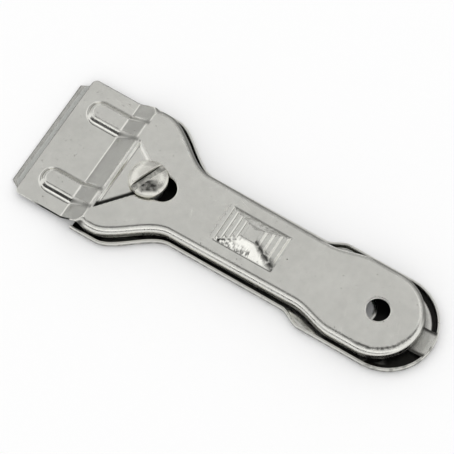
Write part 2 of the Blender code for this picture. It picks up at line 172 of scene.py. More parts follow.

# The same for the lower leaf, mostly painted shade: along X and Y, up from the floor, and in from the edge or
# the upper leaf's plan
BASE_SHADE_AND_DARKENING = SimpleNamespace(
    hole_rim=(0, 0.3 * MM),
    leaf_shift=(0.3 * MM, -0.4 * MM),
    leaf_inset=(-0.5 * MM, 0.5 * MM),
    round_end=(2.5 * MM, 2.1 * MM),
    tail=(-52 * MM, -56 * MM),
    tail_near=(-5 * MM, 0),
    lip_run=4 * MM,
    lip_brow=(-0.35 * MM, -0.15 * MM),
    rim_inside=(0.9 * MM, 1.4 * MM),
    rim_start=(0, 0.3 * MM),
    rim_foot=(1.9 * MM, 1.0 * MM),
    foot_specks=(-0.3, 0.3),
    tail_edge_specks=(-46 * MM, -52 * MM),
    tail_edge_near=(-6 * MM, 0),
    tail_edge_speck_bounds=(-0.2, 0.3),
    lug_covered=(-4.2 * MM, -1.2 * MM),
    lug_side=0.8,
)

# The same for the painted shade in the recess crease and the darker blots on the pad, in parts of the recess
# wall and of the pad's slopes, and for the blots
FORM_SHADE_AND_DARKENING = SimpleNamespace(
    crease_start=(-0.2, 0.2),
    crease_end=(1.9, 2.9),
    tail_hip=0.24,
    tail_hip_foot=0.72,
    tail_hip_narrowing=0.4,
    tail_hip_blots=(0.3, 0.52),
    front_hip=-0.12,
    front_hip_half=0.1,
    front_hip_blots=(0.4, 0.6),
    foot_end=(0.25, 0.65),
    foot_blots=(0.42, 0.6),
)

# The same for the painted shade in the screw's slot and the painted dark reflection on its head, in parts of
# its slot and of its radius, with the way to the side of the reflection
HEAD_SHADE_AND_REFLECTION = SimpleNamespace(
    line_start=(-0.03, 0.02),
    line_end=(0.08, 0.17),
    least_taper=0.02,
    slot_blots=(0.4, 0.6),
    reflection_way=(-0.527, 0.85),
    reflection_start=(0.15, 0.3),
    reflection_end=(0.7, 0.88),
    reflection_side=(0.3, 0.55),
    painted_reflection_blots=(0.35, 0.6),
)

# Softness of the bends of a stair, and where its burr falls off, in parts of the riser
RISER_SOFT, TAIL_RISER_SOFT = 0.1, 0.06
BURR_FALL = (0.75, 1.0)

# Ground bevel of the blade from land to edge: parts of its run, of the clipped corner and of its fall
BEVEL_ROWS = ((0, 0, 0), (0.35, 0.35, 0.28), (0.6, 0.6, 0.48), (0.75, 0.85, 0.7), (1, 1, 1))

# Rows of points across the tail lug, in parts of its half width
LUG_LEVELS = (-1, -0.86, -0.7, 0.7, 0.86, 1)

# Points of the screw head: rings by their lean from the crown in degrees, and lines beside each edge of the
# driver slot by their distance from it in slot walls
HEAD_RINGS = np.linspace(86, 4, 26)
HEAD_RING_STEPS = 110
LEAST_RING_STEPS = 8
HEAD_RING_CLEAR = 0.9
SLOT_LINES = (*np.linspace(0.7, -0.7, 8), -1.1, -1.6, -2.3, -3.2)
SLOT_LINE_STEPS = 64
SLOT_LINE_CLEAR = 0.12 * MM

# Soft box and cards on an arch that runs from the far side over the top to the near side:
# height on the arch, spread along it, turn about the object and width, all in degrees, then strength or shade
ARCH = 3.0
SOFT_BOX = ("near_key", 146, 26, -16, 100, 0.25)
CARDS = (
    ("far_card", 62, 30, 0, 34, 0.67),
    ("low_card", 28, 38, -28, 62, 0.5),
    ("far_flag", 4, 10, -28, 62, 0.1),
    ("top_flag", 90, 24, 0, 90, 0.16),
    ("near_flag", 168, 20, -32, 110, 0.04),
    ("left_flag", 14, 36, 42, 50, 0.45),
    ("near_card", 117, 26, -16, 100, 0.8),
)

# Shades of the clouds on a card, in parts of its own shade, and the share of flecks on the floor
CARD_DARK, CARD_PALE = 0.8, 1.2
FLECK_SHARE = 0.03


def length(name, description, millimetres):
    return FloatProperty(
        name=name, description=description, default=millimetres * MM, unit="LENGTH", precision=5
    )


def factor(name, description, value):
    return FloatProperty(name=name, description=description, default=value, precision=3)


def angle(name, description, degrees):
    return FloatProperty(name=name, description=description, default=math.radians(degrees), subtype="ANGLE")


def colour(name, description, value):
    return FloatVectorProperty(
        name=name, description=description, default=value, size=3, min=0, max=1, subtype="COLOR"
    )


class SheetSizes(bpy.types.PropertyGroup):
    """Gauge of both pressed leaves and the way their edges are turned."""

    gauge: length("Gauge", "Thickness of the sheet", 0.7)
    leaf_bend: length("Leaf bend", "Radius of the turned-down edge of the upper leaf", 2.0)
    base_bend: length("Base bend", "Radius of the turned-up edge of the lower leaf", 1.3)
    bend_onset: factor("Bend onset", "How slowly a turned edge starts to bend", 1.35)
    edge: length("Edge land", "Flat land beside an edge that isn't turned", 0.2)
    corner: length("Edge rounding", "Rounding of a cut edge", 0.16)
    roll: length("Hole roll", "Width of the rolled-over rim of a punched hole", 0.75)
    roll_fall: length("Hole roll fall", "Depth of the rolled-over rim of a punched hole", 0.2)


class LeafOutline(bpy.types.PropertyGroup):
    """Plan of the upper leaf. Stations run along X, and widths are half widths."""

    front: length("Front", "Front edge of the jaw", LEAF_HIGH.x / MM)
    head: length("Head", "Half width of the head", LEAF_HIGH.y / MM)
    corner: length("Corner", "Corner radius of the jaw", 1.6)
    shoulder: length("Shoulder", "Where the head starts to draw in", 35.5)
    neck: length("Neck", "Where the neck starts", 15.5)
    neck_half: length("Neck half width", "Half width of the neck", 11.0)
    waist: length("Waist", "Where the neck ends", -25.0)
    waist_half: length("Waist half width", "Half width at the end of the neck", 10.6)
    tail: length("Tail", "Where the tail reaches its full width", -38.0)
    tail_half: length("Tail half width", "Half width and end radius of the tail", 13.3)
    hang: length("Hanging hole", "Middle of the hanging hole and of the round end", -46.5)
    hang_radius: length("Hanging hole radius", "Radius of the hanging hole", 3.45)
    flange: length("Flange", "Where the turned-down flange starts", 42.6)
    flange_run: length("Flange run", "Length in which the flange turns down", 5.4)
    flange_foot: length("Flange foot", "Lower edge of the flange", 2.7)
    slide: length("Slide", "Length of the screw slot past the screw", 4.8)
    slot_radius: length("Slot radius", "Half width of the screw slot", 4.1)


class LeafForms(bpy.types.PropertyGroup):
    """What is pressed into the upper leaf. Each value is an input of the press tree."""

    jaw_height: length("Jaw Height", "Top of the flat front jaw", 2.3)
    step_rise: length("Step Rise", "Rise from the jaw to the body", 4.35)
    step_foot: length("Step Foot", "Foot of the step", 45.7)
    step_top: length("Step Top", "Top of the step", 39.4)
    step_soft: factor("Step Softness", "Softness of both bends of the step", 0.16)
    bead_middle: length("Bead Middle", "Distance of the beads from the middle line", 12.5)
    bead_half: length("Bead Half Width", "Half width of a bead at its foot", 3.75)
    bead_wall: length("Bead Wall", "Width of the sloping wall of a bead", 1.22)
    bead_height: length("Bead Height", "Height of a bead above the jaw", 1.66)
    bead_nose: length("Bead Nose", "Middle of the round nose of a bead", 53.9)
    bead_end: length("Bead End", "Where a bead runs out", 38.9)
    bead_soft: factor("Bead Softness", "Softness of a bead's foot and brow", 0.8)
    recess_depth: length("Recess Depth", "Depth of the triangular recess", 0.8)
    recess_wall: length("Recess Wall", "Width of the recess wall", 0.6)
    recess_front: length("Recess Front", "Front edge of the recess", 38.4)
    near_corner: length("Near Corner", "Half width of the recess on the +Y side", 15.4)
    near_slope: factor("Near Slope", "Slope of the recess side on the +Y side", 1.2)
    far_corner: length("Far Corner", "Half width of the recess on the -Y side", 9.6)
    far_slope: factor("Far Slope", "Slope of the recess side on the -Y side", 0.67)
    far_steepness: factor("Far Steepness", "Steepness of the far recess wall, in parts of the near one", 0.65)
    recess_soft: factor("Recess Softness", "Softness of the recess wall", 0.4)
    seat_radius: length("Seat Radius", "Radius of the round seat about the screw", 6.0)
    screw_place: length("Screw Place", "Middle of the screw", SCREW_X / MM)
    pad_place: length("Pad Place", "Middle of the thumb pad", -5.3)
    pad_length: length("Pad Half Length", "Half length of the thumb pad", 9.8)
    pad_width: length("Pad Half Width", "Half width of the thumb pad", 6.0)
    crest_length: length("Crest Half Length", "Half length of the crest of the pad", 1.9)
    crest_width: length("Crest Half Width", "Half width of the crest of the pad", 2.3)
    pad_height: length("Pad Height", "Height of the crest above the body", 3.1)
    pad_soft: factor("Pad Softness", "Softness of the edges of the pad", 0.09)
    stair_count: factor("Stair Count", "Stairs on each end of the pad", 4)
    stair_riser: length("Stair Riser", "Length of the sloping riser of a stair", 1.3)
    stair_foot: factor("Stair Foot", "Part of a riser's height that its gentle foot has", 0.2)
    stair_burr: factor("Stair Burr", "Height of the burr on a stair, in parts of the riser", 0.08)
    stair_foot_run: factor("Stair Foot Run", "Part of a riser's length that its gentle foot has", 0.45)
    stair_steep_run: factor("Stair Steep Run", "Part of a riser's length that its steep face has", 0.27)
    stair_margin: factor("Stair Margin", "Gap between the stairs and the sides, in parts of the height", 0.14)
    tail_riser_start: factor("Tail Riser Start", "Where a tail riser starts, in parts of its length", 0.28)
    tail_riser_run: factor("Tail Riser Run", "Part of a tail riser's length in which it rises", 0.44)
    dent_depth: factor("Dent Depth", "Depth of the dents in the pad's far side, in parts of its height", 0.26)


class BaseSizes(bpy.types.PropertyGroup):
    """Plan of the lower leaf, its rim and its tail lug."""

    lip: length("Lip", "Front edge of the lower jaw", BASE_HIGH.x / MM)
    lip_half: length("Lip half width", "Half width of the front edge", 17.9)
    lip_chamfer: length("Lip chamfer", "Length of the clipped front corners", 2.4)
    jaw_half: length("Jaw half width", "Half width of the lower jaw", 19.25)
    jaw_end: length("Jaw end", "Where the lower jaw widens", 50.0)
    head_start: length("Head start", "Where the head reaches its full width", 47.4)
    head: length("Head", "Half width of the head", BASE_HIGH.y / MM)
    shoulder: length("Shoulder", "Where the head starts to draw in", 33.6)
    neck: length("Neck", "Where the neck starts", 14.6)
    neck_half: length("Neck half width", "Half width of the neck", 12.3)
    waist: length("Waist", "Where the neck ends", -22.2)
    tail: length("Tail", "Where the tail reaches its full width", -29.0)
    tail_half: length("Tail half width", "Half width and end radius of the tail", 14.8)
    arc: length("Tail arc", "Middle of the round end", -49.7)
    hang: length("Hanging hole", "Middle of the hanging hole", -40.8)
    hang_radius: length("Hanging hole radius", "Radius of the hanging hole", 4.0)
    nut_hole: length("Nut hole", "Radius of the hole that holds the nut", 3.55)
    rim: length("Rim", "Where the upturned rim starts", 46.6)
    rim_run: length("Rim run", "Length in which the rim turns up", 1.4)
    rim_top: length("Rim top", "Upper edge of the rim", BASE_HIGH.z / MM)
    relief: length("Relief", "Square end of the rim", 41.9)
    relief_half: length("Relief half width", "Half width between the relief cuts", 19.3)
    lug_half: length("Lug half width", "Half width of the tail lug", 4.2)
    lug_tip: length("Lug tip", "Inner end of the tail lug", -57.0)
    lug_rim: length("Lug rim", "Where the lug meets the rim", -63.7)
    lug_outer: length("Lug outer", "Where the lug stops in the rim wall", -65.5)
    lug_limit: length("Lug limit", "Radius that the lug is trimmed to", 14.5)
    lug_top: length("Lug top", "Height of the lug at the rim", 2.4)
    lug_fall: length("Lug fall", "Fall of the lug from the rim to its tip", 0.1)
    lug_dip: length("Lug dip", "Depth of the trough in the lug", 0.55)


class BladeSizes(bpy.types.PropertyGroup):
    """Blade and folded spine."""

    sheet: length("Blade sheet", "Thickness of the blade", 0.25)
    bevel: length("Bevel", "Width of the ground bevel", 1.2)
    edge: length("Edge", "Thickness left at the cutting edge", 0.05)
    clip: length("Clip", "Length of the clipped corners", 1.2)
    spine_gap: length("Spine gap", "Gap between the blade and its spine", 0.05)
    spine_rounding: length("Spine rounding", "Rounding of the edges of the spine", 0.03)


class ClampSizes(bpy.types.PropertyGroup):
    """Clamp screw and the nut that it turns in."""

    head_radius: length("Head Radius", "Radius of the screw head", 5.75)
    head_foot: length("Head Foot", "Underside of the screw head", 6.9)
    head_wall: length("Head Wall", "Height of the straight side of the head", 0.9)
    head_top: length("Head Top", "Crown of the screw head", SCREW_HIGH.z / MM)
    head_flat: factor("Head Flatness", "2 is a round dome, and more is a flatter crown", 2.2)
    slot_width: length("Slot Width", "Width of the driver slot", 1.9)
    slot_depth: length("Slot Depth", "Depth of the driver slot below the crown", 1.3)
    slot_wall: length("Slot Wall", "Width of the slot's side wall with its burr", 0.22)
    slot_angle: angle("Slot Angle", "Direction of the driver slot", 68.5)
    shoulder_radius: length("Shoulder Radius", "Radius of the shoulder in the leaf's slot", 3.7)
    shoulder_foot: length("Shoulder Foot", "Underside of the shoulder", 4.4)
    shank_radius: length("Shank Radius", "Radius of the shank at the thread's root", 2.3)
    shank_foot: length("Shank Foot", "End of the shank", SCREW_LOW.z / MM)
    thread_radius: length("Thread Radius", "Radius of the thread's crest", 2.58)
    thread_pitch: length("Thread Pitch", "Rise of the thread in one turn", 0.8)
    nut_radius: length("Nut Radius", "Radius of the nut's flange", NUT_HIGH.y / MM)
    nut_seat: length("Nut Seat", "Underside of the nut's flange", 1.0)
    nut_shank: length("Nut Shank", "Radius of the nut's shank in the base", 3.2)
    nut_bore: length("Nut Bore", "Radius of the nut's bore", 2.75)
    chamfer: length("Chamfer", "Chamfer of the turned edges", 0.2)


class Finish(bpy.types.PropertyGroup):
    """Colours and roughness of the metals."""

    plating: colour("Plating", "Bright plating on the two leaves", (0.75, 0.745, 0.70))
    screw: colour("Screw plating", "Plating on the screw", (0.78, 0.77, 0.71))
    steel: colour("Bare steel", "Steel of the blade, its spine and the nut", (0.45, 0.455, 0.435))
    # The dark colour of the painted shade in creases, of dark pits and of the kept darkening
    stain: colour("Shade and stain", "Thin stain in the creases and pits", (0.20, 0.195, 0.18))
    plating_roughness: factor("Plating roughness", "Roughness of the bright plating", 0.15)
    screw_roughness: factor("Screw roughness", "Roughness of the plating on the screw", 0.225)
    blade_roughness: factor("Blade roughness", "Roughness of the honed blade", 0.24)
    spine_roughness: factor("Spine roughness", "Roughness of the folded spine", 0.36)
    nut_roughness: factor("Nut roughness", "Roughness of the turned nut", 0.34)


class ShadeAndDarkening(bpy.types.PropertyGroup):
    """Strength of the darkening at each place: 0 is clean metal, and 1 is dark and dull. Most of it is
    painted shade; the brow of the tail and the screw head take painted dark reflections.
    """

    # Painted shade on the upper leaf's edges and flanges
    far_edge: factor("Far edge", "Cut edge of the jaw on the -Y side", 0.6)
    jaw_brow: factor("Jaw brow", "Brow of the jaw's front and -Y edges", 0.5)
    shoulder: factor("Shoulder", "Flange on the +Y side where it starts", 0.85)
    far_flange: factor("Far flange", "Lower part of the flange on the -Y side", 0.7)
    # A painted dark reflection along the brow of the tail
    tail_brow_reflection: factor("Tail rub", "Painted dark reflection on the brow of the tail", 0.8)
    # Painted shade on the bead walls
    bead_seam: factor("Bead seam", "Walls of the beads on the step", 0.6)
    # Darker blots on the pad
    front_hip: factor("Front hip", "Front hip of the pad on the +Y side", 0.8)
    pad_foot: factor("Pad foot", "Foot of the pad on the +Y side", 0.8)
    pad_far: factor("Pad far side", "Far side of the pad", 0.12)
    pad_far_blots: factor("Pad far blots", "Blots on the far side of the pad", 0.35)
    # Painted shade in the driver slot
    slot: factor("Slot", "Floor of the driver slot", 0.22)
    slot_blots: factor("Slot blots", "Blots on the floor of the driver slot", 0.35)
    # A painted dark reflection on the screw head
    tarnish: factor("Tarnish", "Tarnish on the screw head", 0.45)
    painted_reflection_blots: factor("Tarnish blots", "Blots in the tarnish on the screw head", 0.5)
    # Darker lip and cut edge of the lower jaw
    lip: factor("Lip", "Upper side of the lower jaw", 0.26)
    lip_brow: factor("Lip brow", "Brow of the lower jaw's front edge", 0.5)
    lip_edge: factor("Lip edge", "Cut edge of the lower jaw", 0.5)
    # Painted shade on the rim
    rim_inside: factor("Rim inside", "Inner side of the rim", 0.95)
    rim_outside: factor("Rim outside", "Outer side of the rim", 0.15)
    rim_foot: factor("Rim foot", "Foot of the rim's outer side", 0.35)
    rim_foot_blots: factor("Rim foot blots", "Blots on the foot of the rim", 0.3)
    # Darker cut edge of the rim, with dark specks about the tail
    rim_edge: factor("Rim edge", "Cut edge of the rim", 0.1)
    tail_edge_specks: factor("Tail edge specks", "Dark specks on the cut edge about the tail", 0.5)
    # Painted shade on the tail lug
    lug: factor("Lug", "Upper side of the tail lug", 0.3)
    lug_tip: factor("Lug tip", "What is added on the end of the lug", 0.6)
    lug_side: factor("Lug side", "Sides of the tail lug", 0.9)


class StageSizes(bpy.types.PropertyGroup):
    """Camera and floor."""

    turn: angle("Turn", "Camera azimuth", 211.8)
    tilt: angle("Tilt", "Camera elevation", 65.17)
    distance: length("Distance", "Camera distance from the frame's origin", 781.25)
    focal: factor("Focal length", "Focal length in millimetres for a 36 mm sensor", 217.57)
    left: length("Sideways", "Camera move to its left, for the framing", 2.64)
    up: length("Upwards", "Camera move upwards, for the framing", 3.565)
    floor: colour("Floor", "Colour of the pale floor", (0.99, 0.99, 0.99))
    floor_fleck: colour("Floor fleck", "Colour of the faint flecks on the floor", (0.9, 0.9, 0.9))
    floor_half: length("Floor half width", "Half the width of the floor", 4000)
    floor_drop: length("Floor drop", "Gap between the floor and the underside of the base", 0.05)


class Value:
    """One socket of a node tree. Arithmetic on values adds Math nodes to that tree."""

    def __init__(self, board, socket):
        self.board = board
        self.socket = socket

    def __add__(self, other):
        return self.board.math("ADD", self, other)

    def __sub__(self, other):
        return self.board.math("SUBTRACT", self, other)

    def __rsub__(self, other):
        return self.board.math("SUBTRACT", other, self)

    def __mul__(self, other):
        return self.board.math("MULTIPLY", self, other)

    def __truediv__(self, other):
        return self.board.math("DIVIDE", self, other)

    def __rtruediv__(self, other):
        return self.board.math("DIVIDE", other, self)

    __radd__ = __add__
    __rmul__ = __mul__

    def __abs__(self):
        return self.board.math("ABSOLUTE", self)

    def root(self):
        return self.board.math("SQRT", self)

    def floor(self):
        return self.board.math("FLOOR", self)

    def above(self, limit):
        return self.board.math("GREATER_THAN", self, limit)

    def least(self, other, soft=0.0):
        return self.board.math("SMOOTH_MIN", self, other, soft)

    def most(self, other, soft=0.0):
        return self.board.math("SMOOTH_MAX", self, other, soft)

    def limited(self, soft=0.0):
        """The value held between 0 and 1, with rounded ends."""
        return self.least(1.0, soft).most(0.0, soft)

    def band(self, middle, half, soft=0.3):
        """1 at the middle of a band, 0 outside it."""
        return (1.0 - abs(self - middle) / half).limited(soft)

    def ramp(self, low, high):
        """0 at low, 1 at high, eased at both ends."""
        settings = {"interpolation_type": "SMOOTHSTEP"}
        sockets = {"Value": self, "From Min": low, "From Max": high}
        return self.board.add("ShaderNodeMapRange", settings, sockets)


class Board:
    """A node tree that is filled in by code."""

    def __init__(self, tree):
        self.tree = tree

    def add(self, kind, settings=None, sockets=None, out=None):
        """Adds a node and returns its output named out, or its first one, or a list for several names."""
        node = self.tree.nodes.new(kind)
        for name, value in (settings or {}).items():
            setattr(node, name, value)
        for key, value in (sockets or {}).items():
            target = find_socket(node.inputs, key)
            if isinstance(value, Value):
                self.tree.links.new(value.socket, target)
            else:
                target.default_value = value
        if isinstance(out, tuple):
            return [Value(self, find_socket(node.outputs, key)) for key in out]
        if not len(node.outputs):
            return None
        return Value(self, find_socket(node.outputs, out or 0))

    def math(self, operation, *values):
        return self.add("ShaderNodeMath", {"operation": operation}, dict(enumerate(values)))

    def hypot(self, a, b):
        return (a * a + b * b).root()

    def mix(self, share, first, second):
        """Colours mixed by share."""
        sockets = {"Factor_Float": share, "A_Color": first, "B_Color": second}
        return self.add("ShaderNodeMix", {"data_type": "RGBA"}, sockets, "Result_Color")

    def noise(self, place, scale, detail=2.0, roughness=0.5):
        sockets = {"Vector": place, "Scale": scale, "Detail": detail, "Roughness": roughness}
        return self.add("ShaderNodeTexNoise", None, sockets)

    def stretched(self, place, turn, scale):
        """Coordinates turned about Z, then scaled along each axis."""
        turned_place = self.add("ShaderNodeMapping", None, {"Vector": place, "Rotation": (0, 0, turn)})
        return self.add("ShaderNodeMapping", None, {"Vector": turned_place, "Scale": scale})

    def kept_mark(self, name):
        """A number that a geometry tree finds on each point."""
        settings = {"data_type": "FLOAT"}
        return self.add("GeometryNodeInputNamedAttribute", settings, {"Name": name}, "Attribute")


def find_socket(sockets, key):
    """The socket at a place, or with an identifier, or with a name."""
    if isinstance(key, int):
        return sockets[key]
    for socket in sockets:
        if socket.identifier == key:
            return socket
    return sockets[key]


def blank_board(holder):
    """The emptied node tree of a material or of a world."""
    holder.use_nodes = True
    holder.node_tree.nodes.clear()
    return Board(holder.node_tree)


# Outlines and sheets


def smooth(t):
    """0 up to 0, 1 from 1 on, eased at both ends."""
    t = np.clip(t, 0, 1)
    return t * t * (3 - 2 * t)


def ramp(values, low, high):
    """0 at low, 1 at high, eased at both ends. The values fall where high is the smaller one."""
    return smooth((values - low) / (high - low))


def specks(points, scale):
    """A blotchy value from -1 to 1 at each point, with the same result each time."""
    return np.array([noise.noise(Vector(point) * scale) for point in points])


def arc(cx, cy, radius, start, end, count):
    turns = np.radians(np.linspace(start, end, count))
    return np.stack([cx + radius * np.cos(turns), cy + radius * np.sin(turns)], 1)


def circle(cx, radius, count):
    return arc(cx, 0, radius, 0, 360 - 360 / count, count)


def mirrored(half):
    """A closed outline from its +Y half, which runs from the front to the tail."""
    right = half[::-1] * (1, -1)
    return np.concatenate([half, right[right[:, 1] < -MERGE]])


def divided(loop, step):
    """The loop with its long stretches split into equal parts of about one step."""
    points = []
    for start, end in zip(loop, np.roll(loop, -1, axis=0)):
        parts = max(1, round(math.dist(start, end) / step))
        points += [start + (end - start) * i / parts for i in range(parts)]
    return np.array(points)


def shoulder_half_width(size, x):
    """Half width of either leaf where its head draws in to its neck."""
    return size.head + (size.neck_half - size.head) * ramp(x, size.shoulder, size.neck)


def leaf_half_width(size, x):
    run = np.clip((size.neck - x) / (size.neck - size.waist), 0, 1)
    neck = size.neck_half + (size.waist_half - size.neck_half) * run
    tail = neck + (size.tail_half - neck) * ramp(x, size.waist, size.tail)
    return np.where(x > size.neck, shoulder_half_width(size, x), tail)


def base_half_width(size, x):
    widening = size.tail_half - size.neck_half
    return shoulder_half_width(size, x) + widening * ramp(x, size.waist, size.tail)


def leaf_inset(size, x, y):
    """How far points lie inside the plan of the upper leaf."""
    side = np.minimum(leaf_half_width(size, x) - np.abs(y), size.front - x)
    return np.where(x > size.hang, side, size.tail_half - np.hypot(x - size.hang, y))


def leaf_outline(size):
    corner = arc(size.front - size.corner, size.head - size.corner, size.corner, 0, 90, CORNER_STEPS)
    first, last = size.flange + MM, size.flange - size.flange_run - MM
    stations = [np.arange(size.front - size.corner - OUTLINE_STEP, first, -OUTLINE_STEP)]
    stations += [np.arange(first, last, -OUTLINE_STEP / 3), np.arange(last, size.hang, -OUTLINE_STEP)]
    stations = np.concatenate(stations)
    side = np.stack([stations, leaf_half_width(size, stations)], 1)
    end = arc(size.hang, 0, size.tail_half, 90, 180, LEAF_END_STEPS)
    return divided(mirrored(np.concatenate([corner, side, end])), OUTLINE_STEP)


def base_outline(size):
    jaw = [(size.lip, size.lip_half), (size.lip - size.lip_chamfer, size.jaw_half)]
    jaw += [(size.jaw_end, size.jaw_half), (size.head_start, size.head)]
    stations = np.arange(size.head_start - OUTLINE_STEP, size.arc, -OUTLINE_STEP)
    side = np.stack([stations, base_half_width(size, stations)], 1)
    end = arc(size.arc, 0, size.tail_half, 90, 180, BASE_END_STEPS)
    return divided(mirrored(np.concatenate([jaw, side, end])), OUTLINE_STEP)


def outward(loop):
    """Mitred outward directions of a counter-clockwise loop."""
    before = loop - np.roll(loop, 1, axis=0)
    after = np.roll(loop, -1, axis=0) - loop
    n1 = np.stack([before[:, 1], -before[:, 0]], 1) / np.linalg.norm(before, axis=1)[:, None]
    n2 = np.stack([after[:, 1], -after[:, 0]], 1) / np.linalg.norm(after, axis=1)[:, None]
    return (n1 + n2) / (1 + (n1 * n2).sum(1))[:, None]


def inside(points, loop):
    """Which points lie inside a closed loop."""
    x1, y1 = loop.T
    x0, y0 = np.roll(loop, 1, axis=0).T
    found = []
    for part in np.array_split(points, max(1, len(points) // TEST_ROWS)):
        x, y = part[:, :1], part[:, 1:]
        crosses = (y0 > y) != (y1 > y)
        run = np.divide(y - y0, y1 - y0, out=np.zeros_like(y - y0), where=crosses)
        found.append((crosses & (x < x0 + run * (x1 - x0))).sum(1) % 2 == 1)
    return np.concatenate(found)


def staggered(low_x, high_x, low_y, high_y, step, row_step=None):
    """Points of a triangular pattern that fills a box."""
    points = []
    for i, y in enumerate(np.arange(low_y, high_y, row_step or step * math.sqrt(3) / 2)):
        x = np.arange(low_x + step / 2 * (i % 2), high_x, step)
        points.append(np.stack([x, np.full_like(x, y)], 1))
    return np.concatenate(points)


def edge_rows(sheet, bend, amount, height):
    """Steps outwards and down of both faces of a sheet edge that is turned by amount of a right angle.

    The turn starts slowly, and a straight wall and a rounding end it at height below the sheet.
    """
    turn = amount * math.pi / 2
    run = sheet.edge + (bend * math.pi / 2 - sheet.edge) * amount
    outer, inner = [], []
    spot = np.zeros(2)
    for j in range(1, BEND_ROWS + 1):
        middle = turn * ((j - 0.5) / BEND_ROWS) ** sheet.bend_onset
        a = turn * (j / BEND_ROWS) ** sheet.bend_onset
        spot = spot + np.array((math.cos(middle), math.sin(middle))) * run / BEND_ROWS
        outer.append(tuple(spot))
        inner.append(tuple(spot + np.array((-math.sin(a), math.cos(a))) * sheet.gauge))
    along = np.array((math.cos(turn), math.sin(turn)))
    across = np.array((-math.sin(turn), math.cos(turn)))
    reach = (height - spot[1] / max(amount, LEAST_TURN)) * amount * amount
    reach = max(0.0, reach - sheet.corner)
    last_outer, last_inner = np.array(outer[-1]), np.array(inner[-1])
    for j in range(ROUND_ROWS + 1):
        a = math.pi / 2 * j / ROUND_ROWS
        ahead = along * (reach + sheet.corner * math.sin(a))
        in_by = across * sheet.corner * (1 - math.cos(a))
        outer.append(tuple(last_outer + ahead + in_by))
        inner.append(tuple(last_inner + ahead - in_by))
    return np.array([outer, inner])


def triangulated(loops, points):
    """Points and triangles that fill the first loop around the others, and where each loop's points are."""
    edges, rings, first = [], [], 0
    for loop in loops:
        ring = np.arange(first, first + len(loop))
        rings.append(ring)
        edges += list(zip(ring.tolist(), np.roll(ring, -1).tolist()))
        first += len(loop)
    flat = [Vector(point) for point in np.concatenate([*loops, points])]
    spots, _, triangles, origins, _, _ = delaunay_2d_cdt(flat, edges, [], FILL_HULL, SNAP)
    place = {source: i for i, sources in enumerate(origins) for source in sources}
    spots, triangles = np.array(spots), np.array(triangles)
    corners = spots[triangles]
    legs = corners[:, 1:] - corners[:, :1]
    area = legs[:, 0, 0] * legs[:, 1, 1] - legs[:, 0, 1] * legs[:, 1, 0]
    middles = corners.mean(1)
    keep = (np.abs(area) > LEAST_AREA) & inside(middles, loops[0])
    for loop in loops[1:]:
        keep &= ~inside(middles, loop)
    return spots, triangles[keep], [np.array([place[i] for i in ring]) for ring in rings]


class Skin:
    """Points, marks and faces of a sheet, added ring by ring."""

    def __init__(self):
        self.points, self.marks, self.faces = [], [], []
        self.count = 0

    def add(self, points, mark):
        """Adds points that have one mark, and returns where they are."""
        self.points.append(points)
        self.marks.append(np.full(len(points), float(mark)))
        self.count += len(points)
        return np.arange(self.count - len(points), self.count)

    def bridge(self, above, below):
        """Adds a closed row of faces between two rings."""
        self.faces += np.stack([above, below, np.roll(below, -1), np.roll(above, -1)], 1).tolist()

    def roll_hole(self, sheet, loop, mouth, foot):
        """Rolls the rim of a punched hole over, from its mouth in the outer side to its foot."""
        turns = [math.pi / 2 * j / ROLL_ROWS for j in range(1, ROLL_ROWS + 1)]
        profile = [(sheet.roll * (1 - math.sin(a)), sheet.roll_fall * (1 - math.cos(a))) for a in turns]
        for out, down in (*profile, (0.0, sheet.gauge)):
            level = np.full(len(loop), -down)
            ring = self.add(np.column_stack([loop + outward(loop) * out, level]), OUTER_SIDE)
            self.bridge(ring, mouth)
            mouth = ring
        self.bridge(foot, mouth)


def sheet_blank(sheet, bend, outline, bends, height, holes, points):
    """Vertices, faces and marks of a flat sheet at z = 0 with turned-down edges and rolled-over holes."""
    directions = outward(outline)
    rows = np.array([edge_rows(sheet, bend, amount, height) for amount in bends])
    border = outline - directions * rows[:, 0, :, 0].max(1)[:, None]
    loops = [border, *(loop + outward(loop) * sheet.roll for loop in holes)]
    spots, triangles, (rim, *mouths) = triangulated(loops, points)
    skin = Skin()
    flat = np.column_stack([spots, np.zeros(len(spots))])
    upper = skin.add(flat, OUTER_SIDE)
    lower = skin.add(flat - (0, 0, sheet.gauge), INNER_SIDE)
    skin.faces += upper[triangles].tolist() + lower[triangles[:, ::-1]].tolist()
    ends = []
    for side, last in ((OUTER_SIDE, rim), (INNER_SIDE, lower[rim])):
        for j in range(rows.shape[2]):
            out, down = rows[:, side, j].T
            spot = np.column_stack([border + directions * out[:, None], -down])
            ring = skin.add(spot, side if j < BEND_ROWS else CUT_EDGE)
            pair = (last, ring) if side == OUTER_SIDE else (ring, last)
            skin.bridge(*pair)
            last = ring
        ends.append(last)
    skin.bridge(*ends)
    for loop, mouth in zip(holes, mouths):
        skin.roll_hole(sheet, loop, mouth, lower[mouth])
    return np.concatenate(skin.points), skin.faces, np.concatenate(skin.marks)


# Solids and meshes


def ring_pairs(count):
    return [(i, (i + 1) % count) for i in range(count)]


def turned(profile, cx, steps=TURN_STEPS):
    """Vertices and faces of a turned surface about the vertical line at cx, from rows of (radius, height)."""
    verts, faces, rows = [], [], []
    for radius, height in profile:
        first = len(verts)
        if radius < MERGE:
            verts.append((cx, 0.0, height))
            rows.append([first] * steps)
            continue
        verts += [(x, y, height) for x, y in circle(cx, radius, steps)]
        rows.append(list(range(first, first + steps)))
    for low, high in zip(rows, rows[1:]):
        for i, j in ring_pairs(steps):
            face = list(dict.fromkeys((low[i], low[j], high[j], high[i])))
            if len(face) > 2:
                faces.append(face)
    return verts, faces


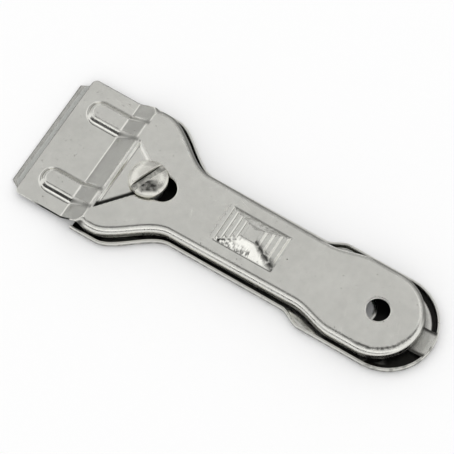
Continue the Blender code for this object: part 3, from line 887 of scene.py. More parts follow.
def lofted(rows):
    """Vertices and faces of a solid through closed rows of the same number of points."""
    count = len(rows[0])
    verts = [point for row in rows for point in row]
    faces = [list(range(count)), list(range(len(verts) - count, len(verts)))]
    for first in range(0, len(verts) - count, count):
        faces += [[first + i, first + j, first + count + j, first + count + i] for i, j in ring_pairs(count)]
    return verts, faces


def prism(outline, *levels):
    """A solid drawn along Y from a closed (x, z) outline, with a row of points at each level."""
    return lofted([[(x, level, z) for x, z in outline] for level in levels])


def card(name, half_width, half_height, place):
    """A flat square-cornered card in the XY plane of its place."""
    w, h = half_width, half_height
    corners = [place @ Vector(point) for point in ((-w, -h, 0), (w, -h, 0), (w, h, 0), (-w, h, 0))]
    return add_mesh(name, corners, [[0, 1, 2, 3]])


def keep_mark(mesh, mark, values):
    """Keeps one number for each vertex as an attribute."""
    mesh.attributes.new(mark, "FLOAT", "POINT").data.foreach_set("value", np.array(values, np.float32))


def add_mesh(name, verts, faces, **marks):
    """An object of these faces. Marks are numbers for each vertex, kept as attributes."""
    mesh = bpy.data.meshes.new(name)
    mesh.from_pydata([tuple(v) for v in verts], [], faces)
    for mark, values in marks.items():
        keep_mark(mesh, mark, values)
    work = bmesh.new()
    work.from_mesh(mesh)
    bmesh.ops.remove_doubles(work, verts=work.verts, dist=MERGE)
    loose = [v for v in work.verts if not v.link_faces]
    bmesh.ops.delete(work, geom=loose, context="VERTS")
    bmesh.ops.recalc_face_normals(work, faces=work.faces)
    work.to_mesh(mesh)
    work.free()
    made = bpy.data.objects.new(name, mesh)
    bpy.context.scene.collection.objects.link(made)
    return made


def cut(target, tool, operation):
    change = target.modifiers.new(tool.name, "BOOLEAN")
    change.operation = operation
    change.solver = "EXACT"
    change.object = tool


def round_edges(made, width, segments=2, limit=40):
    """Rounds the edges at which the surface turns by more than a limit in degrees."""
    change = made.modifiers.new("rounding", "BEVEL")
    change.width = width
    change.segments = segments
    change.limit_method = "ANGLE"
    change.angle_limit = math.radians(limit)


def settle(made, *tools):
    """Turns the evaluated object into a plain mesh and removes its modifiers and tools."""
    graph = bpy.context.evaluated_depsgraph_get()
    mesh = bpy.data.meshes.new_from_object(made.evaluated_get(graph), depsgraph=graph)
    made.modifiers.clear()
    old, made.data = made.data, mesh
    mesh.name = made.name
    bpy.data.meshes.remove(old)
    for tool in tools:
        bpy.data.objects.remove(tool)


def read_rows(items, name, width, kind=float):
    """What mesh items hold under a name, as rows of numbers."""
    values = np.empty(len(items) * width, kind)
    items.foreach_get(name, values)
    return values.reshape(-1, width)


def mark_bends(made, sharp_radius=0.6 * MM):
    """Marks how convex each point is, from -1 in a sharp crease to 1 on a sharp edge."""
    mesh = made.data
    spots = read_rows(mesh.vertices, "co", 3)
    normals = read_rows(mesh.vertices, "normal", 3)
    a, b = read_rows(mesh.edges, "vertices", 2, np.int32).T
    leg = spots[b] - spots[a]
    size = np.maximum((leg * leg).sum(1), MERGE * MERGE)
    bend = np.zeros(len(spots))
    used = np.zeros(len(spots))
    for here, way in ((a, leg), (b, -leg)):
        np.add.at(bend, here, -2 * (way * normals[here]).sum(1) / size)
        np.add.at(used, here, 1)
    keep_mark(mesh, "bend", np.tanh(bend / np.maximum(used, 1) * sharp_radius))


def finish_piece(made, surface, body, node, sharp=38):
    """Gives a piece its finish and sets it on its body in place of a node."""
    made.data.materials.clear()
    made.data.materials.append(surface)
    made.data.polygons.foreach_set("material_index", [0] * len(made.data.polygons))
    made.data.shade_smooth()
    made.data.set_sharp_from_angle(angle=math.radians(sharp))
    mark_bends(made)
    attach(made, body)
    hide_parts(node)


# Geometry trees


def labels(group):
    """The shown name of each value of a property group."""
    return {key: group.bl_rna.properties[key].name for key in group.__annotations__}


def form_tree(name, group):
    """A geometry tree with one named float input for each value of a property group, and those inputs."""
    tree = bpy.data.node_groups.new(name, "GeometryNodeTree")
    tree.is_modifier = True
    face = tree.interface
    face.new_socket("Geometry", in_out="INPUT", socket_type="NodeSocketGeometry")
    for key, label in labels(group).items():
        made = face.new_socket(label, in_out="INPUT", socket_type="NodeSocketFloat")
        made.default_value = getattr(group, key)
    face.new_socket("Material", in_out="INPUT", socket_type="NodeSocketMaterial")
    face.new_socket("Geometry", in_out="OUTPUT", socket_type="NodeSocketGeometry")
    board = Board(tree)
    entry = tree.nodes.new("NodeGroupInput")
    inputs = {socket.name: Value(board, socket) for socket in entry.outputs if socket.name}
    sizes = {key: inputs[label] for key, label in labels(group).items()}
    return board, SimpleNamespace(geometry=inputs["Geometry"], material=inputs["Material"], **sizes)


def end_tree(board, shape, surface):
    real = board.add("GeometryNodeRealizeInstances", None, {"Geometry": shape})
    dressed = board.add("GeometryNodeSetMaterial", None, {"Geometry": real, "Material": surface})
    board.add("NodeGroupOutput", None, {"Geometry": dressed})


def run_tree(made, tree, group, surface):
    """Runs a geometry tree on an object, with the values of a property group, and keeps the mesh."""
    change = made.modifiers.new(tree.name, "NODES")
    change.node_group = tree
    values = {label: float(getattr(group, key)) for key, label in labels(group).items()}
    values["Material"] = surface
    for item in tree.interface.items_tree:
        if item.in_out == "INPUT" and item.name in values:
            change[item.identifier] = values[item.name]
    settle(made)


def keep_grime(board, shape, amount):
    """Stores the amount of darkening on each point, on top of what is there. Most of it is painted shade."""
    sockets = {"Geometry": shape, "Name": "grime", "Value": board.kept_mark("grime").most(amount)}
    return board.add("GeometryNodeStoreNamedAttribute", {"data_type": "FLOAT"}, sockets)


def press_tree(group, darkness):
    """Presses the step, the beads, the recess and the stepped thumb pad into a flat sheet."""
    board, size = form_tree("press_leaf", group)
    place = board.add("GeometryNodeInputPosition")
    x, y = board.add("ShaderNodeSeparateXYZ", None, {0: place}, ("X", "Y"))
    spot = SimpleNamespace(place=place, x=x, y=y, side=abs(y), near=y.above(0.0))
    body, seam = pressed_step(board, size, spot, darkness)
    recess, crease = pressed_recess(board, size, spot)
    pad, pad_dark = pressed_pad(board, size, spot, darkness)
    height = size.jaw_height + body - recess + pad
    # Painted shade in the recess crease and on the bead walls, and the darker blots of the pad, are kept on
    # the points
    marked = keep_grime(board, size.geometry, crease.most(pad_dark.limited()).most(seam))
    offset = board.add("ShaderNodeCombineXYZ", None, {"Z": height})
    shape = board.add("GeometryNodeSetPosition", None, {"Geometry": marked, "Offset": offset})
    end_tree(board, shape, size.material)
    return board.tree


def pressed_step(board, size, spot, darkness):
    """Rise of the step and of its two beads above the jaw, and the painted shade on the bead walls on the
    step.
    """
    x = spot.x
    step = ((size.step_foot - x) / (size.step_foot - size.step_top)).limited(size.step_soft)
    to_bead = board.hypot(spot.side - size.bead_middle, (x - size.bead_nose).most(0.0))
    wall = ((size.bead_half - to_bead) / size.bead_wall).limited(size.bead_soft)
    fade = ((x - size.bead_end) / (size.step_foot - size.bead_end)).limited(size.step_soft)
    on_step = x.above(size.bead_end) * size.step_foot.above(x)
    # Painted shade half-way down the bead walls, on the step only
    seam = wall * (1.0 - wall) * (4.0 * darkness.bead_seam) * on_step
    return size.step_rise * step + size.bead_height * wall * fade, seam


def pressed_recess(board, size, spot):
    """Depth of the uneven triangular recess with its round seat, and the painted shade in its near crease."""
    x, near = spot.x, spot.near
    corner = size.far_corner + near * (size.near_corner - size.far_corner)
    slope = size.far_slope + near * (size.near_slope - size.far_slope)
    side_gap = (corner + slope * (x - size.recess_front) - spot.side) / (slope * slope + 1.0).root()
    side_gap = side_gap * (size.far_steepness + (1.0 - size.far_steepness) * near)
    seat_gap = size.seat_radius - board.hypot(x - size.screw_place, spot.y)
    gap = (size.recess_front - x).least(side_gap).most(seat_gap)
    recess = size.recess_depth * (gap / size.recess_wall).limited(size.recess_soft)
    # Painted shade along the +Y recess wall, between the screw and the recess front
    walls_in = side_gap / size.recess_wall
    crease = walls_in.ramp(*FORM_SHADE_AND_DARKENING.crease_start) * (1.0 - walls_in.ramp(*FORM_SHADE_AND_DARKENING.crease_end)) * near
    return recess, crease * x.above(size.screw_place) * (1.0 - x.above(size.recess_front))


def pressed_pad(board, size, spot, darkness):
    """Height of the stepped thumb pad with its dented far side, and its darker blots."""
    run = size.pad_length - size.crest_length
    along = (size.pad_length - abs(spot.x - size.pad_place)) / run
    over = (size.pad_width - spot.side) / (size.pad_width - size.crest_width)
    fore = spot.x.above(size.pad_place)
    plain = along.least(over, size.pad_soft).limited(size.pad_soft)
    stairs = stair_lift(size, along, run, fore) * ((over - along) / size.stair_margin).limited()
    dent = (board.noise(spot.place, DENTS, 1.0) - 0.5) * (1.0 - spot.near)
    dent = dent * (over * 2.0).least(2.0 - over * 2.0).limited() * ((along - over) * 3.0).limited()
    pad = size.pad_height * (plain + stairs + dent * size.dent_depth)
    return pad, pad_darkening(board, size, spot, darkness, along, over, fore)


def stair_lift(size, along, run, fore):
    """How far the stairs stand out of the end slope of the pad, in parts of its height.

    A front riser has a gentle foot and a burr on its brow, and a tail riser is plain.
    """
    stair = (along * size.stair_count).floor()
    rung = (along * size.stair_count - stair) * run / size.stair_count / size.stair_riser
    gentle = (rung / size.stair_foot_run).limited()
    steep = ((rung - size.stair_foot_run) / size.stair_steep_run).limited(RISER_SOFT)
    climb = size.stair_foot * gentle + (1.0 - size.stair_foot + size.stair_burr) * steep
    climb = climb - size.stair_burr * rung.ramp(*BURR_FALL)
    plain = ((rung - size.tail_riser_start) / size.tail_riser_run).limited(TAIL_RISER_SOFT)
    climb = fore * climb + (1.0 - fore) * plain
    return ((stair + climb) / size.stair_count).limited() - along.limited()


def pad_darkening(board, size, spot, darkness, along, over, fore):
    """Darker blots on both near hips of the pad, on its near foot and, thinly, on its far side."""
    near, at = spot.near, FORM_SHADE_AND_DARKENING
    blot = board.noise(spot.place, BLOTS, 2.0)
    from_hip = over - along
    tail_hip = from_hip.band(at.tail_hip, at.tail_hip_foot - at.tail_hip_narrowing * along)
    tail_hip = tail_hip * near * (1.0 - fore) * blot.ramp(*at.tail_hip_blots)
    front_hip = from_hip.band(at.front_hip, at.front_hip_half) * near * fore
    front_hip = front_hip * blot.ramp(*at.front_hip_blots) * darkness.front_hip
    on_pad = along.above(0.0) * over.above(0.0) * (1.0 - along.above(1.0))
    on_side = along.above(over) * over.above(0.0)
    ahead = spot.x.above(size.pad_place - size.crest_length)
    foot = near * on_side * (1.0 - over.ramp(*at.foot_end)) * ahead
    foot = foot * blot.ramp(*at.foot_blots) * darkness.pad_foot
    far_side = (1.0 - near) * on_side * (darkness.pad_far + blot * darkness.pad_far_blots)
    return (tail_hip + front_hip) * on_pad + foot + far_side


def screw_tree(group, darkness):
    """Raises the dome of the head, cuts the driver slot and winds the thread on the shank."""
    board, size = form_tree("turn_screw", group)
    place = board.add("GeometryNodeInputPosition")
    x, y = board.add("ShaderNodeSeparateXYZ", None, {0: place}, ("X", "Y"))
    x = x - SCREW_X
    share = board.hypot(x, y) / size.head_radius
    rise = size.head_top - size.head_foot - size.head_wall
    bulge = (1.0 - board.math("POWER", share, size.head_flat)).most(0.0)
    dome = rise * board.math("POWER", bulge, 1.0 / size.head_flat)
    across = y * board.math("COSINE", size.slot_angle) - x * board.math("SINE", size.slot_angle)
    groove = size.slot_width / 2.0 + size.slot_wall / 2.0 - abs(across)
    groove = (groove / size.slot_wall).limited(0.5)
    depth = (dome - rise + size.slot_depth).most(0.0)
    crown = board.kept_mark("crown")
    offset = board.add("ShaderNodeCombineXYZ", None, {"Z": (dome - groove * depth) * crown})
    blot = board.noise(place, BLOTS, 2.0)
    # Painted shade on the floor of the driver slot, and a painted dark reflection on the side of the head
    # towards the camera
    slot_floor = groove * (darkness.slot + darkness.slot_blots * blot.ramp(*HEAD_SHADE_AND_REFLECTION.slot_blots))
    tarnish = head_reflection(size, x, y) * (1.0 - groove)
    tarnish = tarnish * (darkness.tarnish + blot.ramp(*HEAD_SHADE_AND_REFLECTION.painted_reflection_blots) * darkness.painted_reflection_blots)
    shade = slot_line(size, across, depth).most(slot_floor).most(tarnish)
    marked = keep_grime(board, size.geometry, crown * shade)
    body = board.add("GeometryNodeSetPosition", None, {"Geometry": marked, "Offset": offset})
    both = board.tree.nodes.new("GeometryNodeJoinGeometry")
    for part in (wound_thread(board, size), body):
        board.tree.links.new(part.socket, both.inputs[0])
    end_tree(board, Value(board, both.outputs[0]), size.material)
    return board.tree


def slot_line(size, across, depth):
    """Painted shade: a dark line along one wall of the driver slot, thinner where the slot is shallow."""
    at = HEAD_SHADE_AND_REFLECTION
    from_wall = across / size.slot_width + 0.5
    taper = depth / size.slot_depth
    line_share = from_wall / (taper * taper).most(at.least_taper)
    return from_wall.ramp(*at.line_start) * (1.0 - line_share.ramp(*at.line_end))


def head_reflection(size, x, y):
    """Painted dark reflection: a patch on the side of the screw head towards the camera, short of its rim."""
    at = HEAD_SHADE_AND_REFLECTION
    way_x, way_y = at.reflection_way
    out = (y * way_y + x * way_x) / size.head_radius
    beside = abs(x * way_y - y * way_x) / size.head_radius
    reach = out.ramp(*at.reflection_start) * (1.0 - out.ramp(*at.reflection_end))
    return reach * (1.0 - beside.ramp(*at.reflection_side))


def wound_thread(board, size):
    """The thread: a thin bar that is wound on the shank."""
    rise = size.shoulder_foot - size.shank_foot - size.thread_pitch * 2.0
    sockets = {"Resolution": 48, "Rotations": rise / size.thread_pitch, "Height": rise}
    sockets |= {"Start Radius": size.shank_radius, "End Radius": size.shank_radius}
    helix = board.add("GeometryNodeCurveSpiral", None, sockets)
    sockets = {"Resolution": 6, "Radius": size.thread_radius - size.shank_radius}
    profile = board.add("GeometryNodeCurvePrimitiveCircle", None, sockets)
    sockets = {"Curve": helix, "Profile Curve": profile, "Fill Caps": True}
    thread = board.add("GeometryNodeCurveToMesh", None, sockets)
    foot = size.shank_foot + size.thread_pitch
    start = board.add("ShaderNodeCombineXYZ", None, {"X": SCREW_X, "Z": foot})
    return board.add("GeometryNodeTransform", None, {"Geometry": thread, "Translation": start})


# Finishes


def scratched(board, place):
    """Thin broken lines in a few directions."""
    lines = []
    for turn, across, along in SCRATCHES:
        lane = board.noise(board.stretched(place, turn, (along, across, across)), 1.0, 1.0)
        field = board.noise(board.stretched(place, turn, SCRATCH_FIELD), 1.0, 1.0)
        line = 1.0 - abs(lane - 0.5).ramp(*MARK_BOUNDS.scratch)
        lines.append(line * field.ramp(*MARK_BOUNDS.scratch_fields))
    first, *others = lines
    for line in others:
        first = first.most(line)
    return first


def metal(name, tint, stain, roughness, marks):
    """Metal with clouds, pits and fine scratches, convex edges lightened as a painted highlight and creases
    darkened as painted shade. Marks scales the damage.
    """
    made = bpy.data.materials.new(name)
    board, bounds = blank_board(made), MARK_BOUNDS
    place = board.add("ShaderNodeTexCoord", out="Object")
    bend = board.add("ShaderNodeAttribute", {"attribute_name": "bend"}, out="Fac")
    grime = board.add("ShaderNodeAttribute", {"attribute_name": "grime"}, out="Fac")
    cloud = board.noise(place, CLOUDS, 3.0, 0.6)
    blotch = board.noise(place, BLOTCHES, 2.0)
    grain = board.noise(place, GRAIN, 3.0, 0.6)
    pit_field = board.noise(place, PIT_FIELDS, 1.0).ramp(*bounds.pit_fields)
    pits = board.noise(place, PITS, 2.0).ramp(*bounds.pits) * pit_field
    scratch = scratched(board, place)
    # Convex edges are lightened: a painted highlight
    painted_edge_light = bend.ramp(*bounds.painted_edge_light)
    rounded = bend.ramp(*bounds.rounded)
    # Creases are darkened: painted shade
    crease = (bend * -1.0).ramp(*bounds.crease) * cloud.ramp(*bounds.crease_clouds)
    shade_and_dirt = (crease * SHADE_AND_DIRT.crease + pits * SHADE_AND_DIRT.pits * marks).least(1.0)
    tone = TONE.plain + cloud * TONE.cloud + blotch * TONE.blotch + grain * TONE.grain
    tone = tone + painted_edge_light * TONE.painted_edge_light + scratch * TONE.scratch * marks
    plain = board.add("ShaderNodeVectorMath", {"operation": "SCALE"}, {0: tint, "Scale": tone})
    # Painted shade in the creases and the dark pits mix towards the dark colour, then the kept darkening,
    # mostly painted shade, darkens further
    shaded_and_stained = board.mix(shade_and_dirt, plain, (*stain, 1.0))
    skin = board.mix(grime, shaded_and_stained, (*(TONE.grime * channel for channel in stain), 1.0))
    rough = roughness + (cloud - 0.5) * ROUGH.cloud + (grain - 0.5) * ROUGH.grain + shade_and_dirt * ROUGH.shade_and_dirt
    rough = rough + scratch * ROUGH.scratch * marks + grime * ROUGH.grime + rounded * ROUGH.rounded
    high = board.add("ShaderNodeSeparateXYZ", None, {0: place}, "Z").ramp(*bounds.high)
    swell = board.noise(place, SWELLS, 1.0) * (SWELL.plain + SWELL.high * high)
    swell = swell + grain * (SWELL.grain * marks + SWELL.rounded * rounded)
    swell = swell - scratch * SWELL.scratch * marks - pits * SWELL.pits * marks
    sockets = {"Strength": BUMP.strength, "Distance": BUMP.depth, "Height": swell}
    normal = board.add("ShaderNodeBump", None, sockets)
    sockets = {"Base Color": skin, "Metallic": 1.0, "Roughness": rough.most(ROUGH.least), "Normal": normal}
    shader = board.add("ShaderNodeBsdfPrincipled", None, sockets)
    board.add("ShaderNodeOutputMaterial", None, {"Surface": shader})
    return made


def plated_sheet():
    finish = bpy.context.scene.scraper_finish
    return bpy.data.materials.get("plated_sheet") or metal(
        "plated_sheet", finish.plating, finish.stain, finish.plating_roughness, marks=1.0
    )


def plated_screw():
    finish = bpy.context.scene.scraper_finish
    return metal("plated_screw", finish.screw, finish.stain, finish.screw_roughness, marks=2.0)


def bare_steel(name, roughness):
    finish = bpy.context.scene.scraper_finish
    return metal(name, finish.steel, finish.stain, roughness, marks=1.8)


def matt(name, pattern, share, first, second):
    """Matt finish for the stage, with a share of the second colour in a pattern of repeats per metre."""
    made = bpy.data.materials.new(name)
    board = blank_board(made)
    nap = board.noise(board.add("ShaderNodeTexCoord", out="Object"), pattern, 2.0) * share
    skin = board.mix(nap, (*first, 1.0), (*second, 1.0))
    shader = board.add("ShaderNodeBsdfDiffuse", None, {"Color": skin})
    board.add("ShaderNodeOutputMaterial", None, {"Surface": shader})
    return made


# Pieces


class SCRAPER_OT_leaf(bpy.types.Operator):
    """Presses the upper leaf"""

    bl_idname = "scraper.leaf"
    bl_label = "Upper Leaf"

    def execute(self, context):
        scene = context.scene
        sheet, plan = scene.scraper_sheet, scene.scraper_leaf
        forms, darkness = scene.scraper_forms, scene.scraper_wear
        outline = leaf_outline(plan)
        bends = smooth((plan.flange - outline[:, 0]) / plan.flange_run)
        body = forms.jaw_height + forms.step_rise
        height = body - plan.flange_foot
        slot_front = arc(SCREW_X, 0, plan.slot_radius, -90, 90, SLOT_END_STEPS)
        slot_back = arc(SCREW_X - plan.slide, 0, plan.slot_radius, 90, 270, SLOT_END_STEPS)
        slot = divided(np.concatenate([slot_front, slot_back]), OUTLINE_STEP)
        holes = [slot, circle(plan.hang, plan.hang_radius, HOLE_STEPS)]
        points = self.points(plan, forms, sheet)
        verts, faces, marks = sheet_blank(sheet, sheet.leaf_bend, outline, bends, height, holes, points)
        made = add_mesh("pressed_leaf", verts, faces, grime=self.shade_and_darkening_marks(plan, darkness, verts, marks))
        surface = plated_sheet()
        run_tree(made, press_tree(forms, darkness), forms, surface)
        finish_piece(made, surface, "leaf", "top_plate")
        return {"FINISHED"}

    def shade_and_darkening_marks(self, plan, darkness, verts, marks):
        """Painted shade of the blank: its whole inner side, the jaw's cut edges and brows and the flange, and
        a painted dark reflection along the brow of the tail.
        """
        at = LEAF_SHADE
        x, y, z = verts.T
        depth, inset = -z, leaf_inset(plan, x, y)
        on_jaw, on_near = x > plan.flange, y > 0
        # Painted shade: the jaw's cut edges and brows are darkened, the +Y ones more towards the flange
        near_edge = ramp(x, *at.jaw_edge) * on_near
        jaw_edge = np.maximum(near_edge, darkness.far_edge * (y < 0)) * on_jaw
        brow = ramp(inset, *at.jaw_brow) * on_jaw
        brow = brow * np.where(y > plan.head - at.near_strip, near_edge, darkness.jaw_brow)
        # Painted shade on the +Y flange where it starts, and on the lower part of the -Y flange, starting
        # lower about the waist
        turned_down = plan.flange - plan.flange_run
        shoulder = ramp(x, turned_down, turned_down + at.shoulder_run) * on_near
        shoulder = shoulder * ramp(depth, *at.shoulder_depth)
        waist = ramp(x, *at.waist_back) * ramp(x, *at.waist_front)
        bounds = [low + (high - low) * waist for low, high in zip(at.flange_depth, at.waist_depth)]
        far_flange = ramp(depth, *bounds) * ramp(y, *at.far_side)
        # A painted dark reflection along the brow of the tail on the +Y side, broken into specks
        turn = np.degrees(np.arctan2(y, x - plan.hang))
        brow_reflection = ramp(turn, *at.brow_reflection_start) * ramp(turn, *at.brow_reflection_end)
        brow_reflection = brow_reflection * np.clip(1.5 - np.abs(inset - at.brow_reflection_inset) / at.brow_reflection_half, 0, 1)
        brow_reflection = brow_reflection * ramp(specks(verts, TAIL_SPECKS), *at.brow_reflection_specks)
        painted_edge_light = [brow, darkness.shoulder * shoulder, darkness.far_flange * far_flange, darkness.tail_brow_reflection * brow_reflection]
        # Painted shade: the whole inner side is darkened fully, and the outer side takes the patches above
        plain = np.where(marks == CUT_EDGE, jaw_edge, marks)
        return np.maximum(plain, np.maximum.reduce(painted_edge_light) * (marks != INNER_SIDE))

    def points(self, plan, forms, sheet):
        """Inner points: close together where the sheet is formed, and far apart where it is flat."""
        bead_side = forms.bead_middle + forms.bead_half + FORM_CLEAR
        bead_nose = forms.bead_nose + forms.bead_half + FORM_CLEAR
        step_low, step_high = forms.step_top - STEP_TOP_CLEAR, forms.step_foot + STEP_FOOT_CLEAR
        seat_end = SCREW_X - forms.seat_radius - FORM_CLEAR
        recess_side = forms.near_corner + FORM_CLEAR
        pad_x, pad_y = forms.pad_length + PAD_CLEAR, forms.pad_width + PAD_CLEAR
        pad_low, pad_high = forms.pad_place - pad_x, forms.pad_place + pad_x
        zones = [
            (step_low, step_high, -plan.head, plan.head, FORM_STEP),
            (step_high, bead_nose, -bead_side, bead_side, FORM_STEP),
            (seat_end, step_low, -recess_side, recess_side, FORM_STEP),
            (pad_low, pad_high, -pad_y, pad_y, STAIR_STEP, STAIR_SIDE_STEP),
        ]
        plain = staggered(LEAF_LOW.x, LEAF_HIGH.x, LEAF_LOW.y, LEAF_HIGH.y, PLAIN_STEP)
        for x0, x1, y0, y1, *_ in zones:
            x, y = plain.T
            plain = plain[(x < x0) | (x > x1) | (y < y0) | (y > y1)]
        points = np.concatenate([plain, *(staggered(*zone) for zone in zones)])
        return points[self.clear_of_edges(plan, sheet, *points.T)]

    def clear_of_edges(self, plan, sheet, x, y):
        """Which points keep clear of the turned edge, the hanging hole and the screw slot."""
        bend = smooth((plan.flange - x) / plan.flange_run)
        turn_in = sheet.edge + sheet.corner + (1.3 * sheet.leaf_bend - sheet.edge) * bend
        stations = np.linspace(LEAF_LOW.x, LEAF_HIGH.x, WIDTH_SAMPLES)
        lean = np.interp(x, stations, np.gradient(leaf_half_width(plan, stations)))
        lean = lean * (WIDTH_SAMPLES - 1) / (LEAF_HIGH.x - LEAF_LOW.x)
        margin = (turn_in + EDGE_CLEAR) * np.hypot(1, lean)
        from_hole = np.hypot(x - plan.hang, y)
        from_slot = np.hypot(x - np.clip(x, SCREW_X - plan.slide, SCREW_X), y)
        keep = np.abs(y) < leaf_half_width(plan, x) - margin
        keep &= x < plan.front - turn_in - EDGE_CLEAR
        keep &= (x > plan.hang) | (from_hole < plan.tail_half - margin)
        keep &= from_hole > plan.hang_radius + sheet.roll + EDGE_CLEAR
        return keep & (from_slot > plan.slot_radius + sheet.roll + EDGE_CLEAR)


class SCRAPER_OT_base(bpy.types.Operator):
    """Presses the lower leaf with its rim, relief cuts and tail lug"""

    bl_idname = "scraper.base"
    bl_label = "Lower Leaf"

    def execute(self, context):
        scene = context.scene
        sheet, plan = scene.scraper_sheet, scene.scraper_base
        outline = base_outline(plan)
        bends = smooth((plan.rim - outline[:, 0]) / plan.rim_run)
        holes = [circle(SCREW_X, plan.nut_hole, HOLE_STEPS), circle(plan.hang, plan.hang_radius, HOLE_STEPS)]
        points = self.points(plan, sheet)
        verts, faces, marks = sheet_blank(sheet, sheet.base_bend, outline, bends, plan.rim_top, holes, points)
        verts = verts * (1, 1, -1)
        made = add_mesh("pressed_base", verts, faces, grime=self.shade_and_darkening_marks(scene, verts, marks))
        tools = self.reliefs(plan)
        for tool in tools:
            cut(made, tool, "DIFFERENCE")
        lug, limit = self.lug(plan, sheet)
        cut(made, lug, "UNION")
        settle(made, *tools, limit, lug)
        self.shade_lug(made.data, plan, scene.scraper_wear)
        finish_piece(made, plated_sheet(), "base", "base_plate")
        return {"FINISHED"}

    def points(self, plan, sheet):
        """Inner points: a plain pattern, with rings about the hanging hole and along the round end."""
        points = staggered(BASE_LOW.x, BASE_HIGH.x, BASE_LOW.y, BASE_HIGH.y, 2 * PLAIN_STEP)
        x, y = points.T
        clear = sheet.base_bend + 3 * EDGE_CLEAR
        keep = np.abs(y) < np.minimum(base_half_width(plan, x), plan.jaw_half) - 1.4 * clear
        keep &= x < plan.lip - plan.lip_chamfer
        keep &= (x > plan.arc) | (np.hypot(x - plan.arc, y) < plan.tail_half - clear)
        for middle, radius in ((plan.hang, plan.hang_radius), (SCREW_X, plan.nut_hole)):
            keep &= np.hypot(x - middle, y) > radius + HOLE_CLEAR
        rings = [circle(plan.hang, plan.hang_radius + HOLE_RING, HOLE_RING_STEPS)]
        for inset in END_RINGS:
            rings.append(arc(plan.arc, 0, plan.tail_half - inset, 95, 265, END_RING_STEPS))
        return np.concatenate([points[keep], *rings])

    def shade_and_darkening_marks(self, scene, verts, marks):
        """Darkening of the blank: painted shade on the floor under the upper leaf, along the round end, on
        the tail and on both sides of the rim, a darker lip, and a darker cut edge with dark specks about the
        tail.
        """
        at, darkness = BASE_SHADE_AND_DARKENING, scene.scraper_wear
        sheet, plan = scene.scraper_sheet, scene.scraper_base
        x, y, z = verts.T
        speck = specks(verts, RIM_SPECKS)
        # Painted shade on the floor under the upper leaf, kept off the rolled rim of the hanging hole
        off_hole = ramp(np.hypot(x - plan.hang, y) - plan.hang_radius - sheet.roll, *at.hole_rim)
        shift_x, shift_y = at.leaf_shift
        covered = leaf_inset(scene.scraper_leaf, x + shift_x, y + shift_y)
        floor = ramp(covered, *at.leaf_inset) * off_hole
        # Painted shade along the inside of the round end and on the +Y side of the tail
        from_end = plan.tail_half - np.hypot(x - plan.arc, y)
        round_end = (x < plan.arc) * ramp(from_end, *at.round_end)
        tail = ramp(x, *at.tail) * ramp(y, *at.tail_near)
        # The lip is darker, with a darker brow at its front edge
        lip = ramp(x, plan.head_start, plan.head_start + at.lip_run)
        jaw = darkness.lip * lip + darkness.lip_brow * ramp(x - plan.lip, *at.lip_brow)
        # Painted shade on the inner side of the rim
        rim_inside = darkness.rim_inside * ramp(z, *at.rim_inside)
        upper = np.maximum.reduce([floor, tail, round_end, jaw, rim_inside])
        # Painted shade on the outer side of the rim, blotchy and strongest at its foot
        foot = darkness.rim_foot + darkness.rim_foot_blots * ramp(speck, *at.foot_specks)
        outer = darkness.rim_outside + foot * ramp(z, *at.rim_foot)
        outer = outer * ramp(z, *at.rim_start) * off_hole
        # Dark specks on the cut edge about the tail, and a darker cut edge, most on the lip
        tail_edge_specks = ramp(x, *at.tail_edge_specks) * ramp(y, *at.tail_edge_near) * ramp(speck, *at.tail_edge_speck_bounds)
        edge = np.maximum(darkness.rim_edge + darkness.lip_edge * lip, darkness.tail_edge_specks * tail_edge_specks)
        return np.choose(marks.astype(int), (outer, upper, edge))

    def reliefs(self, plan):
        """Blocks that cut the rim off square on both sides of the head."""
        blocks = []
        for side, name in ((1, "near_relief"), (-1, "far_relief")):
            y0, y1 = sorted((side * plan.relief_half, side * 1.2 * plan.head))
            corners = [(plan.relief, -MM), (plan.jaw_end + MM, -MM)]
            corners += [(x, 2 * plan.rim_top) for x, _ in reversed(corners)]
            blocks.append(add_mesh(name, *prism(corners, y0, y1)))
        return blocks

    def lug(self, plan, sheet):
        """The tail lug, a shallow trough that runs in from the rim, and the round that trims it."""
        upper = [(plan.lug_outer, plan.lug_top)]
        for t in np.linspace(0, 1, LUG_ROWS):
            drop = plan.lug_fall * t + plan.lug_dip * math.sin(math.pi * t)
            upper.append((plan.lug_rim + (plan.lug_tip - plan.lug_rim) * t, plan.lug_top - drop))
        side_view = upper + [(x, z - sheet.gauge) for x, z in reversed(upper)]
        lug = add_mesh("tail_lug", *prism(side_view, *(share * plan.lug_half for share in LUG_LEVELS)))
        low, high = -MM, 2 * plan.rim_top
        profile = [(0, low), (plan.lug_limit, low), (plan.lug_limit, high), (0, high)]
        limit = add_mesh("lug_limit", *turned(profile, plan.arc))
        round_edges(lug, sheet.corner)
        cut(lug, limit, "INTERSECT")
        return lug, limit

    def shade_lug(self, mesh, plan, darkness):
        """Paints shade over the whole lug, more on the end that lies under the upper leaf and most on its
        sides.
        """
        at = BASE_SHADE_AND_DARKENING
        for point, mark in zip(mesh.vertices, mesh.attributes["grime"].data):
            x, y, z = point.co
            on_lug = plan.lug_rim < x < plan.lug_tip + MERGE and abs(y) < plan.lug_half + MERGE
            if on_lug and z > plan.lug_top / 2:
                covered = ramp(x - plan.lug_tip, *at.lug_covered)
                side = abs(y) > at.lug_side * plan.lug_half
                mark.value = max(darkness.lug + darkness.lug_tip * covered, darkness.lug_side * side)


